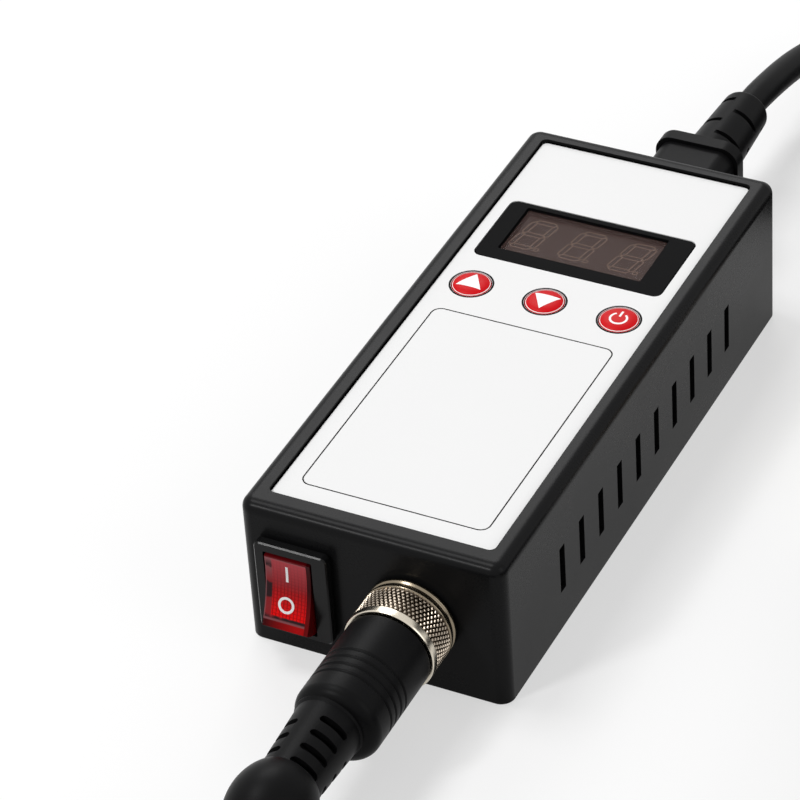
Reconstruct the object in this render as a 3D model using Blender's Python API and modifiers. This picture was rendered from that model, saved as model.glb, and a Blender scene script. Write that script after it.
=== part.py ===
# A portable hot air rework station: a moulded case with a keypad and a three-digit display,
# a rocker switch and a round screw-locked plug at the front, a mains lead at the rear, and
# the hot air handle at the end of its cable. Units are metres. The origin is the centre of
# the case's underside, the front faces -Y, and the keypad faces +Z.

import math

import bmesh
import bpy
import numpy as np
from mathutils import Matrix, Vector

for old in list(bpy.data.objects):
    bpy.data.objects.remove(old, do_unlink=True)

# Driving dimensions: the clearances between pieces
GAP = 0.0003  # between faces that seat on each other
SLIP = 0.00035  # round a piece that moves

# Driving dimensions: the case
CASE_WIDTH = 0.0550
CASE_LENGTH = 0.1340
CASE_HEIGHT = 0.0332
SIDE_WALL = 0.0022
TOP_WALL = 0.0030
CORNER_RADIUS = 0.0028
TOP_FILLET = 0.0025
COVER_THICKNESS = 0.0020
VENT_COUNT = 10
VENT_WIDTH = 0.0023
VENT_HEIGHT = 0.0107
VENT_BOTTOM = 0.0088
VENT_PITCH = 0.00902
VENT_MIDDLE_Y = -0.00081
CASE_SCREW_RADIUS = 0.0013
CASE_SCREW_HEAD_RADIUS = 0.0026
CASE_POST_RADIUS = 0.0030
CASE_POST_INSET = 0.0032  # from the inner wall to the axis of a post
CASE_POST_CLEARANCE = 0.0010  # behind the rocker switch

# Driving dimensions: the keypad label and the display
LABEL_SIDE_MARGIN = 0.0043
LABEL_FRONT_MARGIN = 0.0053
LABEL_REAR_MARGIN = 0.0039
LABEL_THICKNESS = 0.0004
LABEL_SUNK = 0.0008  # how far the label lies below the case top
LABEL_CORNER = 0.0010
WINDOW_SIDE_MARGIN = 0.0028  # of the label beside the window's frame
WINDOW_LENGTH = 0.0197
WINDOW_FROM_REAR = 0.0351  # its middle, from the case's rear
WINDOW_CORNER = 0.0016
DISPLAY_FRAME_SIDE = 0.0047  # of the frame, at the left and right of the display
DISPLAY_LENGTH = 0.0150
DISPLAY_X = -0.0008
DISPLAY_BEHIND_WINDOW = 0.0011  # its middle, from the middle of the frame
BEZEL_WALL = 0.0010
BEZEL_DEPTH = 0.0024
WINDOW_THICKNESS = 0.0010
DIGITS_HEIGHT = 0.0066

# Driving dimensions: the three buttons
BUTTON_FROM_WINDOW = 0.0196  # from the middle of the window's frame
BUTTON_FROM_EDGE = 0.0071  # the outer buttons' axes, from the label's edge
BUTTON_RADIUS = 0.00385
BUTTON_DOME = 0.0006
BUTTON_PROUD = 0.0005
BUTTON_FLANGE = 0.0008
BUTTON_TRAVEL = 0.00025
SWITCH_BODY = 0.0060
SWITCH_BODY_HEIGHT = 0.0034
SWITCH_PLUNGER_RADIUS = 0.0017
SWITCH_HEIGHT = 0.0043

# Driving dimensions: the two circuit boards
BOARD_THICKNESS = 0.0016
BOARD_SIDE_CLEARANCE = 0.0023  # from the case's inner walls
DISPLAY_BOARD_BEFORE_BUTTONS = 0.0168
DISPLAY_BOARD_FROM_INLET = 0.0005
POWER_BOARD_FROM_POSTS = 0.0050  # behind the posts of the front screws
POWER_BOARD_FROM_INLET = 0.0070
POWER_BOARD_POST = 0.0030  # height of its posts above the cover
BOARD_POST_RADIUS = 0.0023
BOARD_POST_INSET = 0.0032
BOARD_SCREW_RADIUS = 0.0009
BOARD_SCREW_HEAD_RADIUS = 0.0019
BOARD_SCREW_HEAD = 0.0012
STAKE_RADIUS = 0.0009  # of the melted-over pins that hold the display board
STAKE_HEAD_RADIUS = 0.0016
STAKE_HEAD = 0.0008

# Driving dimensions: the tall parts on the power board
PART_HEADROOM = 0.0015  # under the display board
PART_INSET = 0.0060  # from the board's rear to the tall parts
TRANSFORMER_X = -0.0075
TRANSFORMER_WIDTH = 0.0200
TRANSFORMER_CORE = 0.0060
TRANSFORMER_COIL = 0.0150
TRANSFORMER_COIL_SHORT = 0.0030  # how much lower the coil is than the core
CAPACITOR_X = 0.0105
CAPACITOR_LENGTH = 0.0200
HEATSINK_X = -0.0100
HEATSINK_Y = 0.0200  # from the board's front
HEATSINK_WIDTH = 0.0140
HEATSINK_LENGTH = 0.0220
HEATSINK_BASE = 0.0025
FIN_GAP = 0.0018
FIN_PITCH = 0.0032
FIN_GAPS = 4
TRIAC_THICKNESS = 0.0044
TRIAC_WIDTH = 0.0100
TRIAC_TAB = 0.0013
FUSE_X = 0.0130
FUSE_FROM_FRONT = 0.0100
FUSE_LENGTH = 0.0200
FUSE_CAP = 0.0050
FUSE_RADIUS = 0.0026
HEADER_X = 0.0025
HEADER_Y = 0.0060  # from the board's front
HEADER_WIDTH = 0.0220
HEADER_LENGTH = 0.0058
HEADER_HEIGHT = 0.0080
HEADER_WALL = 0.0010

# Driving dimensions: the rocker switch
ROCKER_FROM_SIDE = 0.0118
ROCKER_BELOW_MIDDLE = 0.0007
ROCKER_BEZEL_WIDTH = 0.0154
ROCKER_BEZEL_HEIGHT = 0.0212
ROCKER_BEZEL_PROUD = 0.0024
ROCKER_BODY_WIDTH = 0.0130
ROCKER_BODY_HEIGHT = 0.0194
ROCKER_BODY_DEPTH = 0.0170
ROCKER_MOUTH_WIDTH = 0.0103
ROCKER_MOUTH_HEIGHT = 0.0181
ROCKER_MOUTH_LEFT = 0.0006  # of the bezel's middle
ROCKER_MOUTH_DOWN = 0.0003
ROCKER_MOUTH_DEPTH = 0.0134
ROCKER_PIVOT_DEPTH = 0.0025  # behind the front of the bezel
ROCKER_KEY_PROUD = 0.0043  # corners of the key in front of the pivot
ROCKER_KEY_DISH = 0.0011  # how much lower its middle is
ROCKER_KEY_BACK = 0.0034
ROCKER_SWING = math.radians(12.0)  # each way from the middle

# Driving dimensions: the round panel socket and the screw-locked plug
SOCKET_X = 0.0085
SOCKET_BELOW_MIDDLE = 0.0002
THREAD_RADIUS = 0.0076
SOCKET_BORE = 0.0065
SOCKET_COLLAR_RADIUS = 0.0082
SOCKET_COLLAR = 0.0009
SOCKET_REACH = 0.0080  # in front of the panel
SOCKET_TAIL = 0.0090  # behind the front of the panel
SOCKET_NUT_RADIUS = 0.0107
SOCKET_NUT_THICKNESS = 0.0030
INSERT_STEP = 0.0006
PIN_COUNT = 8
PIN_RADIUS = 0.0005
PIN_CIRCLE = 0.0036
PIN_LENGTH = 0.0165
PIN_REACH = 0.0050
NUT_RADIUS = 0.0093
NUT_LENGTH = 0.0102
NUT_STANDOFF = 0.0004
NUT_LIP = 0.0010
NUT_GROOVE = 0.0003
SLEEVE_RADIUS = 0.0062
SLEEVE_WALL = 0.0009
SLEEVE_FLANGE = 0.0010
SLEEVE_TAIL = 0.0150
BOOT_RADIUS = 0.0088
BOOT_LENGTH = 0.0226
BOOT_GROOVES = (0.0102, 0.0122, 0.0143, 0.0163)  # from its front edge
BOOT_GROOVE_DEPTH = 0.00030
BOOT_GROOVE_WIDTH = 0.00045
BOOT_SHOULDER = 0.0026
RELIEF_X = 0.0076
RELIEF_RADIUS = 0.00675
RELIEF_END_RADIUS = 0.00605
RELIEF_LENGTH = 0.0155
RELIEF_SLOT_WIDTH = 0.0013
RELIEF_SLOT_PITCH = 0.0037
RELIEF_SLOT_FIRST = 0.0042
RELIEF_SLOT_FLOOR = 0.0055
RELIEF_SLOT_TURN = math.radians(55.0)
BULB_RADIUS = 0.0082
BULB_LENGTH = 0.0145

# Driving dimensions: the mains inlet, its connector and its lead
INLET_X = 0.0026
INLET_BELOW_MIDDLE = 0.0001
INLET_FLANGE_WIDTH = 0.0244
INLET_FLANGE_HEIGHT = 0.0224
INLET_FLANGE = 0.0018
INLET_BODY_WIDTH = 0.0206
INLET_BODY_HEIGHT = 0.0176
INLET_BODY_DEPTH = 0.0160
NOSE_WIDTH = 0.0158
NOSE_HEIGHT = 0.0124
NOSE_DEPTH = 0.0108
INLET_PIN_RADIUS = 0.0011
INLET_PIN_SPACING = 0.0050
INLET_PIN_DROP = 0.0030
CONNECTOR_WIDTH = 0.0170
CONNECTOR_HEIGHT = 0.0164
CONNECTOR_LENGTH = 0.0145
GRIP_WIDTH = 0.0188
GRIP_HEIGHT = 0.0182
GRIP_THICKNESS = 0.0030
GRIP_CORNER = 0.0035
LEAD_RELIEF_RADIUS = 0.0063
LEAD_RELIEF_END_RADIUS = 0.0051
LEAD_RELIEF_LENGTH = 0.0247
LEAD_SLOT_PLACES = (0.0068, 0.0118, 0.0161, 0.0208)  # along the strain relief
LEAD_SLOT_WIDTH = 0.0013
LEAD_SLOT_FLOOR = 0.0043
MAINS_CORD_DIAMETER = 0.0065
WALL_PLUG_WIDTH = 0.0260
WALL_PLUG_HEIGHT = 0.0240
WALL_PLUG_LENGTH = 0.0320
WALL_PLUG_CORNER = 0.0050
WALL_PLUG_RELIEF = 0.0220
WALL_PLUG_AT = (0.1270, 0.1460)  # the end of its strain relief
BLADE_WIDTH = 0.0063
BLADE_THICKNESS = 0.0015
BLADE_LENGTH = 0.0170
BLADE_SPACING = 0.0127
BLADE_LIFT = 0.0030
EARTH_PIN_RADIUS = 0.0024
EARTH_PIN_LENGTH = 0.0200
EARTH_PIN_DROP = 0.0075
BLADE_SEAT = 0.0060

# Driving dimensions: the coils that the two cords are put away in
COIL_FLOOR = 0.0012  # room for the tie that runs under the turns
COIL_LAYERS = 2
MAINS_COIL_COLUMNS = 3
HANDLE_COIL_COLUMNS = 2
TURN_SPACING = 1.03  # in cord diameters
MAINS_COIL_AT = (0.0620, 0.1377)
MAINS_COIL_RADIUS = 0.0390  # of the middle of the bundle
HANDLE_COIL_AT = (0.0497, -0.1800)
HANDLE_COIL_RADIUS = 0.0385
HANDLE_CORD_DIAMETER = 0.0070
TIE_THICKNESS = 0.0008
TIE_WIDTH = 0.0090

# The route of the mains lead from its strain relief down to the coil, and on to the plug
MAINS_ROUTE = [
    (0.0026, 0.1117, 0.0165), (0.0027, 0.1156, 0.01645), (0.0030, 0.1202, 0.0161),
    (0.0033, 0.1256, 0.0154), (0.0037, 0.1314, 0.0145), (0.0044, 0.1386, 0.0131),
    (0.0058, 0.1465, 0.0113), (0.0085, 0.1545, 0.0093), (0.0126, 0.1619, 0.0075),
    (0.0178, 0.1686, 0.0060), (0.0230, 0.1739, 0.0050), (0.0284, 0.1781, 0.0046),
]
MAINS_END_ROUTE = [
    (0.0925, 0.1803, 0.0098), (0.0996, 0.1778, 0.0076), (0.1066, 0.1742, 0.0058),
    (0.1131, 0.1699, 0.0050), (0.1187, 0.1648, 0.0061), (0.1230, 0.1592, 0.0084),
    (0.1256, 0.1539, 0.0106), (0.1267, 0.1495, 0.0120), (0.1270, 0.1467, 0.0123),
]

# The route of the handle cable from the plug down to the coil, and on to the handle
HANDLE_ROUTE = [
    (0.0076, -0.1310, 0.0164), (0.0076, -0.1366, 0.0161), (0.0076, -0.1416, 0.0149),
    (0.0076, -0.1466, 0.0128), (0.0076, -0.1510, 0.0106), (0.0075, -0.1552, 0.0091),
]
HANDLE_END_ROUTE = [
    (0.0760, -0.2212, 0.0104), (0.0850, -0.2216, 0.0084), (0.0940, -0.2207, 0.0063),
    (0.1035, -0.2187, 0.0048), (0.1130, -0.2153, 0.0041), (0.1220, -0.2103, 0.0040),
    (0.1302, -0.2038, 0.0041), (0.1373, -0.1958, 0.0046), (0.1430, -0.1866, 0.0060),
    (0.1466, -0.1768, 0.0085), (0.1477, -0.1670, 0.0121), (0.1464, -0.1576, 0.0160),
    (0.1432, -0.1484, 0.0210), (0.1395, -0.1396, 0.0223), (0.1382, -0.1363, 0.0222),
]

# Driving dimensions: the hot air handle, along its own axis from the tail to the nozzle
HANDLE_TAIL = (0.1296, -0.1146)
HANDLE_TIP = (0.0540, 0.0760)
HEAD_RADIUS = 0.0190
HEAD_START = 0.0060
HEAD_END = 0.0400
TAIL_RADIUS = 0.0175
GRIP_START = 0.0600
GRIP_RADIUS = 0.0130
GRIP_END = 0.1080
COLLAR_WALL = 0.0034  # round the barrel, at the shells' end
COLLAR_START = 0.1160
SHELL_END = 0.1260
SHELL_WALL = 0.0020
GRILLE_THICKNESS = 0.0030
GRILLE_SLOTS = 12
GRILLE_SLOT_WIDTH = 0.0016
GRILLE_SLOT_INNER = 0.0080
GRILLE_SLOT_OUTER = 0.0150
GLAND_LENGTH = 0.0230
GLAND_RADIUS = 0.0058
GLAND_END_RADIUS = 0.0045
ROTOR_START = 0.0080
ROTOR_LENGTH = 0.0130
ROTOR_RADIUS = 0.0155
ROTOR_HUB_RADIUS = 0.0060
ROTOR_BLADES = 9
ROTOR_BLADE_THICKNESS = 0.0009
ROTOR_BLADE_LEAN = math.radians(28.0)
MOTOR_RADIUS = 0.0095
MOTOR_LENGTH = 0.0140
SHAFT_RADIUS = 0.0010
MOTOR_FLANGE = 0.0012
MOTOR_PORTS = 6
HEATER_COLLAR_LENGTH = 0.0080
BARREL_RADIUS = 0.0110
BARREL_WALL = 0.0008
BARREL_SEAT = 0.0100  # inside the shells
BARREL_END = 0.1860
BARREL_PORTS = 8
BARREL_PORT_RADIUS = 0.0012
CORE_LENGTH = 0.0520
CORE_WEB = 0.0022
NOZZLE_CLAMP_WALL = 0.0011
NOZZLE_CLAMP_LENGTH = 0.0110
NOZZLE_WALL = 0.0008
NOZZLE_TIP_RADIUS = 0.0045
NOZZLE_TIP_LENGTH = 0.0080
NOZZLE_SHOULDER = 0.0030
NOZZLE_LENGTH = 0.0330
CLAMP_EAR = 0.0060
CLAMP_EAR_THICKNESS = 0.0012
CLAMP_SLIT = 0.0010
CLAMP_SCREW_RADIUS = 0.0014
CLAMP_SCREW_HEAD_RADIUS = 0.0021
HANDLE_SCREW_PLACES = (0.0680, 0.1000)
HANDLE_SCREW_RADIUS = 0.0011
HANDLE_SCREW_HEAD_RADIUS = 0.0021

# Heights and depths that follow from the sizes above
HALF_WIDTH = CASE_WIDTH / 2
FRONT = -CASE_LENGTH / 2
REAR = CASE_LENGTH / 2
INNER_HALF_WIDTH = HALF_WIDTH - SIDE_WALL
INNER_FRONT = FRONT + SIDE_WALL
INNER_REAR = REAR - SIDE_WALL
CEILING = CASE_HEIGHT - TOP_WALL
LABEL_TOP = CASE_HEIGHT - LABEL_SUNK
LABEL_HALF_WIDTH = HALF_WIDTH - LABEL_SIDE_MARGIN
RECESS_FLOOR = LABEL_TOP - LABEL_THICKNESS - GAP
LABEL_FRONT = FRONT + LABEL_FRONT_MARGIN
LABEL_REAR = REAR - LABEL_REAR_MARGIN
WINDOW_WIDTH = 2 * (LABEL_HALF_WIDTH - WINDOW_SIDE_MARGIN)
WINDOW_Y = REAR - WINDOW_FROM_REAR
DISPLAY_WIDTH = WINDOW_WIDTH - 2 * DISPLAY_FRAME_SIDE
DISPLAY_Y = WINDOW_Y + DISPLAY_BEHIND_WINDOW
BUTTON_Y = WINDOW_Y - BUTTON_FROM_WINDOW
BUTTON_SPACING = LABEL_HALF_WIDTH - BUTTON_FROM_EDGE
BUTTON_HOLE = BUTTON_RADIUS + GAP
VENT_FIRST_Y = VENT_MIDDLE_Y - VENT_PITCH * (VENT_COUNT - 1) / 2
ROCKER_X = ROCKER_FROM_SIDE - HALF_WIDTH
ROCKER_Z = CASE_HEIGHT / 2 - ROCKER_BELOW_MIDDLE
ROCKER_MOUTH_X = ROCKER_X - ROCKER_MOUTH_LEFT
ROCKER_MOUTH_Z = ROCKER_Z - ROCKER_MOUTH_DOWN
SOCKET_Z = CASE_HEIGHT / 2 - SOCKET_BELOW_MIDDLE
INLET_Z = CASE_HEIGHT / 2 - INLET_BELOW_MIDDLE
BEZEL_BOTTOM = LABEL_TOP - BEZEL_DEPTH
DIGITS_TOP = BEZEL_BOTTOM - GAP
DIGITS_BOTTOM = DIGITS_TOP - DIGITS_HEIGHT
DISPLAY_BOARD_TOP = DIGITS_BOTTOM - GAP
DISPLAY_BOARD_BOTTOM = DISPLAY_BOARD_TOP - BOARD_THICKNESS
SWITCH_TOP = DISPLAY_BOARD_TOP + GAP + SWITCH_HEIGHT
BOARD_WIDTH = 2 * (INNER_HALF_WIDTH - BOARD_SIDE_CLEARANCE)
DISPLAY_BOARD_FRONT = BUTTON_Y - DISPLAY_BOARD_BEFORE_BUTTONS
DISPLAY_BOARD_REAR = REAR - INLET_BODY_DEPTH - DISPLAY_BOARD_FROM_INLET
POWER_BOARD_BOTTOM = COVER_THICKNESS + POWER_BOARD_POST + GAP
POWER_BOARD_TOP = POWER_BOARD_BOTTOM + BOARD_THICKNESS
FRONT_SCREW_Y = FRONT + ROCKER_BODY_DEPTH + CASE_POST_RADIUS + CASE_POST_CLEARANCE
CASE_SCREWS = [
    (sx * (INNER_HALF_WIDTH - CASE_POST_INSET), y)
    for sx in (-1, 1)
    for y in (FRONT_SCREW_Y, INNER_REAR - CASE_POST_INSET)
]
POWER_BOARD_FRONT = FRONT_SCREW_Y + CASE_POST_RADIUS + POWER_BOARD_FROM_POSTS
POWER_BOARD_REAR = REAR - INLET_BODY_DEPTH - POWER_BOARD_FROM_INLET
CASE_SCREW_DEPTH = 0.0120  # above the underside
CASE_SCREW_COUNTERSINK = 0.0013
BUTTONS = {"up": -BUTTON_SPACING, "down": 0.0, "power": BUTTON_SPACING}

# What follows for the handle, which lies on its thick head and on the nozzle's clamp, so its
# axis leans a little
COLLAR_RADIUS = BARREL_RADIUS + GAP + COLLAR_WALL
BARREL_START = SHELL_END - BARREL_SEAT
NOZZLE_CLAMP_RADIUS = BARREL_RADIUS + GAP + NOZZLE_CLAMP_WALL
CLAMP_START = BARREL_END - NOZZLE_CLAMP_LENGTH
HANDLE_BOSS_REACH = GRIP_RADIUS - SHELL_WALL / 2
HANDLE_LEAN = math.atan((HEAD_RADIUS - NOZZLE_CLAMP_RADIUS) / (BARREL_END - HEAD_END))
HANDLE_HEIGHT = HEAD_RADIUS / math.cos(HANDLE_LEAN) + HEAD_END * math.tan(HANDLE_LEAN) + GAP

FACING_FRONT = Matrix.Rotation(math.radians(90), 4, "X")  # turns +Z to -Y
FACING_REAR = Matrix.Rotation(math.radians(-90), 4, "X")  # turns +Z to +Y


def new_collection(name):
    made = bpy.data.collections.new(name)
    bpy.context.scene.collection.children.link(made)
    return made


STATION = new_collection("hot_air_rework_station")
CUTTERS = new_collection("cutters")
CUTTERS.hide_render = True


def material(name, colour, roughness, metallic=0.0):
    made = bpy.data.materials.new(name)
    made.use_nodes = True
    shader = made.node_tree.nodes["Principled BSDF"]
    shader.inputs["Base Color"].default_value = (*colour, 1.0)
    shader.inputs["Roughness"].default_value = roughness
    shader.inputs["Metallic"].default_value = metallic
    made.diffuse_color = (*colour, 1.0)
    return made


BLACK_ABS = (0.030, 0.030, 0.032)
BLACK_RUBBER = (0.022, 0.022, 0.023)
WHITE = (0.86, 0.86, 0.86)
BRIGHT_RED = (0.62, 0.010, 0.016)
NICKEL = (0.62, 0.57, 0.51)
STEEL = (0.55, 0.56, 0.58)
BRASS = (0.65, 0.48, 0.22)
BOARD_GREEN = (0.020, 0.130, 0.060)


def part(name, mesh, finish, place=Matrix.Identity(4), parent=None):
    """A sub-part: finish is (colour, roughness, metallic), and place is relative to parent."""
    made = bpy.data.objects.new(name, mesh)
    STATION.objects.link(made)
    made.parent = parent
    made.matrix_local = place
    mesh.materials.append(material(name, *finish))
    return made


def cutter(name, mesh, place=Matrix.Identity(4), parent=None):
    made = bpy.data.objects.new(name, mesh)
    CUTTERS.objects.link(made)
    made.parent = parent
    made.matrix_local = place
    made.hide_render = True
    made.display_type = "WIRE"
    return made


def boolean(target, operation, tool):
    modifier = target.modifiers.new(f"{operation.lower()} {tool.name}", "BOOLEAN")
    modifier.operation = operation
    modifier.object = tool


def cut(target, tool):
    boolean(target, "DIFFERENCE", tool)


def join(target, tool):
    boolean(target, "UNION", tool)


def mesh_of(shape, name):
    mesh = bpy.data.meshes.new(name)
    shape.to_mesh(mesh)
    shape.free()
    return mesh


def merged(name, meshes):
    """One mesh that holds several separate bodies."""
    shape = bmesh.new()
    for each in meshes:
        shape.from_mesh(each)
        bpy.data.meshes.remove(each)
    return mesh_of(shape, name)


def moved(mesh, x=0.0, y=0.0, z=0.0, turn=None):
    """The mesh turned by a matrix and then moved."""
    if turn is not None:
        mesh.transform(turn)
    mesh.transform(Matrix.Translation((x, y, z)))
    return mesh


def smoothed(mesh, angle=35):
    mesh.shade_smooth()
    mesh.set_sharp_from_angle(angle=math.radians(angle))
    return mesh


def block(name, size, low=(0, 0, 0), corner=0.0, axis=2, steps=3, edge=0.0):
    """A box whose centre lies at low + size / 2 along Z and at low along X and Y.

    corner rounds its four edges along the axis, and edge rounds the rim of its top."""
    shape = bmesh.new()
    bmesh.ops.create_cube(shape, size=1.0)
    bmesh.ops.scale(shape, vec=Vector(size), verts=shape.verts)
    if corner > 0:
        along = [
            e for e in shape.edges
            if abs((e.verts[0].co - e.verts[1].co).normalized()[axis]) > 0.99
        ]
        bmesh.ops.bevel(
            shape, geom=along, offset=corner, segments=steps, profile=0.5, affect="EDGES"
        )
    if edge > 0:
        top = max(v.co.z for v in shape.verts)
        rim = [
            e for e in shape.edges if all(abs(v.co.z - top) < 1e-7 for v in e.verts)
        ]
        bmesh.ops.bevel(
            shape, geom=rim, offset=edge, segments=steps, profile=0.5, affect="EDGES"
        )
    bmesh.ops.translate(shape, vec=(low[0], low[1], low[2] + size[2] / 2), verts=shape.verts)
    return mesh_of(shape, name)


def cylinder(name, radius, low, high, steps=24, x=0.0, y=0.0, top_radius=None):
    shape = bmesh.new()
    bmesh.ops.create_cone(
        shape, cap_ends=True, segments=steps, radius1=radius,
        radius2=radius if top_radius is None else top_radius, depth=high - low,
    )
    bmesh.ops.translate(shape, vec=(x, y, (low + high) / 2), verts=shape.verts)
    return mesh_of(shape, name)


def outer_side_down(profile):
    """The profile's (radius, height) points in the order that faces a turned shape outwards."""
    ring = profile + profile[:1]
    area = sum(a[0] * b[1] - b[0] * a[1] for a, b in zip(ring, ring[1:]))
    return profile if area < 0 else profile[::-1]


def turned(name, profile, steps=24, ring=False):
    """The mesh of a profile turned about Z. A ring's profile is a closed loop off the axis."""
    points = outer_side_down(profile)
    mesh = bpy.data.meshes.new(name)
    edges = [(i, i + 1) for i in range(len(points) - 1)]
    if ring:
        edges.append((len(points) - 1, 0))
    mesh.from_pydata([(r, 0, h) for r, h in points], edges, [])
    body = bpy.data.objects.new(name, mesh)
    CUTTERS.objects.link(body)
    screw = body.modifiers.new("turn", "SCREW")
    screw.angle = math.tau
    screw.steps = steps
    screw.render_steps = steps
    screw.use_merge_vertices = True
    screw.merge_threshold = 0.00001
    solid = bpy.data.meshes.new_from_object(
        body.evaluated_get(bpy.context.evaluated_depsgraph_get())
    )
    bpy.data.objects.remove(body)
    return smoothed(solid)


def arc(x, y, radius, start, end, steps=4):
    """Points on an arc, with angles in degrees."""
    return [
        (x + radius * math.cos(math.radians(a)), y + radius * math.sin(math.radians(a)))
        for a in np.linspace(start, end, steps + 1)
    ]


def rounded_outline(width, height, corner, x=0.0, y=0.0, steps=3):
    outline = []
    for k, (sx, sy) in enumerate(((1, 1), (-1, 1), (-1, -1), (1, -1))):
        outline += arc(
            x + sx * (width / 2 - corner), y + sy * (height / 2 - corner),
            corner, 90 * k, 90 * (k + 1), steps,
        )
    return outline


def circle_outline(radius, x=0.0, y=0.0, steps=18):
    return arc(x, y, radius, 0, 360 - 360 / steps, steps - 1)


def plate(name, outlines, thickness):
    """A flat piece from its outline and its holes, centred on the XY plane."""
    curve = bpy.data.curves.new(name, "CURVE")
    curve.dimensions = "2D"
    curve.fill_mode = "BOTH"
    curve.extrude = thickness / 2
    for outline in outlines:
        spline = curve.splines.new("POLY")
        spline.points.add(len(outline) - 1)
        for point, (x, y) in zip(spline.points, outline):
            point.co = (x, y, 0, 1)
        spline.use_cyclic_u = True
    body = bpy.data.objects.new(name, curve)
    CUTTERS.objects.link(body)
    solid = bpy.data.meshes.new_from_object(
        body.evaluated_get(bpy.context.evaluated_depsgraph_get())
    )
    bpy.data.objects.remove(body)
    shape = bmesh.new()
    shape.from_mesh(solid)
    bpy.data.meshes.remove(solid)
    bmesh.ops.remove_doubles(shape, verts=shape.verts, dist=0.000001)
    bmesh.ops.recalc_face_normals(shape, faces=shape.faces)
    return mesh_of(shape, name)


def tube(name, points, diameter):
    """A cord's solid: a round tube with closed ends along a list of points."""
    curve = bpy.data.curves.new(name, "CURVE")
    curve.dimensions = "3D"
    curve.bevel_depth = diameter / 2
    curve.bevel_resolution = 2
    curve.use_fill_caps = True
    spline = curve.splines.new("POLY")
    spline.points.add(len(points) - 1)
    for point, place in zip(spline.points, points):
        point.co = (*place, 1)
    made = bpy.data.objects.new(name, curve)
    STATION.objects.link(made)
    curve.materials.append(material(name, BLACK_RUBBER, 0.45))
    return made


def smooth_route(route, spacing):
    """Points at an even spacing on a smooth curve through the route's own points."""
    knots = np.array(route)
    padded = np.vstack([2 * knots[0] - knots[1], knots, 2 * knots[-1] - knots[-2]])
    fine = []
    for a, b, c, d in zip(padded, padded[1:], padded[2:], padded[3:]):
        for t in np.linspace(0, 1, 16, endpoint=False):
            fine.append(
                0.5 * (2 * b + (c - a) * t + (2 * a - 5 * b + 4 * c - d) * t**2
                       + (3 * b - a - 3 * c + d) * t**3)
            )
    fine.append(knots[-1])
    fine = np.array(fine)
    run = np.concatenate([[0], np.cumsum(np.linalg.norm(np.diff(fine, axis=0), axis=1))])
    ends = [run[16], run[-17]]  # the route's own points next to its two ends
    count = max(2, round((ends[1] - ends[0]) / spacing) + 1)
    wanted = [0, *np.linspace(*ends, count), run[-1]]
    return [tuple(np.interp(s, run, fine[:, k]) for k in range(3)) for s in wanted]


def make_top_shell():
    shell_mesh = block(
        "top_shell", (CASE_WIDTH, CASE_LENGTH, CASE_HEIGHT), corner=CORNER_RADIUS,
        steps=5, edge=TOP_FILLET,
    )
    shell = part("top_shell", smoothed(shell_mesh), (BLACK_ABS, 0.42))
    below = 0.001
    cut(shell, cutter("case_cavity", block(
        "case_cavity", (2 * INNER_HALF_WIDTH, INNER_REAR - INNER_FRONT, CEILING + below),
        low=(0, 0, -below), corner=CORNER_RADIUS / 2, steps=2,
    )))
    buried = TOP_WALL / 2  # how far a post runs up into the top wall
    posts = [
        cylinder("post", CASE_POST_RADIUS, COVER_THICKNESS + GAP, CEILING + buried, 12, x, y)
        for x, y in CASE_SCREWS
    ]
    stake_low = DISPLAY_BOARD_BOTTOM - GAP - STAKE_HEAD
    posts += [
        moved(turned("post", [
            (0, CEILING + buried / 2), (BOARD_POST_RADIUS, CEILING + buried / 2),
            (BOARD_POST_RADIUS, DISPLAY_BOARD_TOP + GAP), (STAKE_RADIUS, DISPLAY_BOARD_TOP + GAP),
            (STAKE_RADIUS, stake_low + STAKE_HEAD), (STAKE_HEAD_RADIUS, stake_low + STAKE_HEAD),
            (STAKE_HEAD_RADIUS * 0.7, stake_low), (0, stake_low),
        ], 8), x, y)
        for x, y in display_board_posts()
    ]
    join(shell, cutter("case_posts", merged("case_posts", posts)))
    recess = (2 * (LABEL_HALF_WIDTH + GAP), LABEL_REAR - LABEL_FRONT + 2 * GAP, TOP_WALL)
    cut(shell, cutter("label_recess", block(
        "label_recess", recess, low=(0, (LABEL_FRONT + LABEL_REAR) / 2, RECESS_FLOOR),
        corner=LABEL_CORNER + GAP,
    )))
    cut(shell, cutter("case_openings", merged("case_openings", case_openings())))
    return shell


def display_board_posts():
    half = BOARD_WIDTH / 2 - BOARD_POST_INSET
    ends = (DISPLAY_BOARD_FRONT + BOARD_POST_INSET, DISPLAY_BOARD_REAR - BOARD_POST_INSET)
    return [(sx * half, y) for sx in (-1, 1) for y in ends]


def power_board_posts():
    half = BOARD_WIDTH / 2 - BOARD_POST_INSET
    ends = (POWER_BOARD_FRONT + BOARD_POST_INSET, POWER_BOARD_REAR - BOARD_POST_INSET)
    return [(sx * half, y) for sx in (-1, 1) for y in ends]


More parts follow.
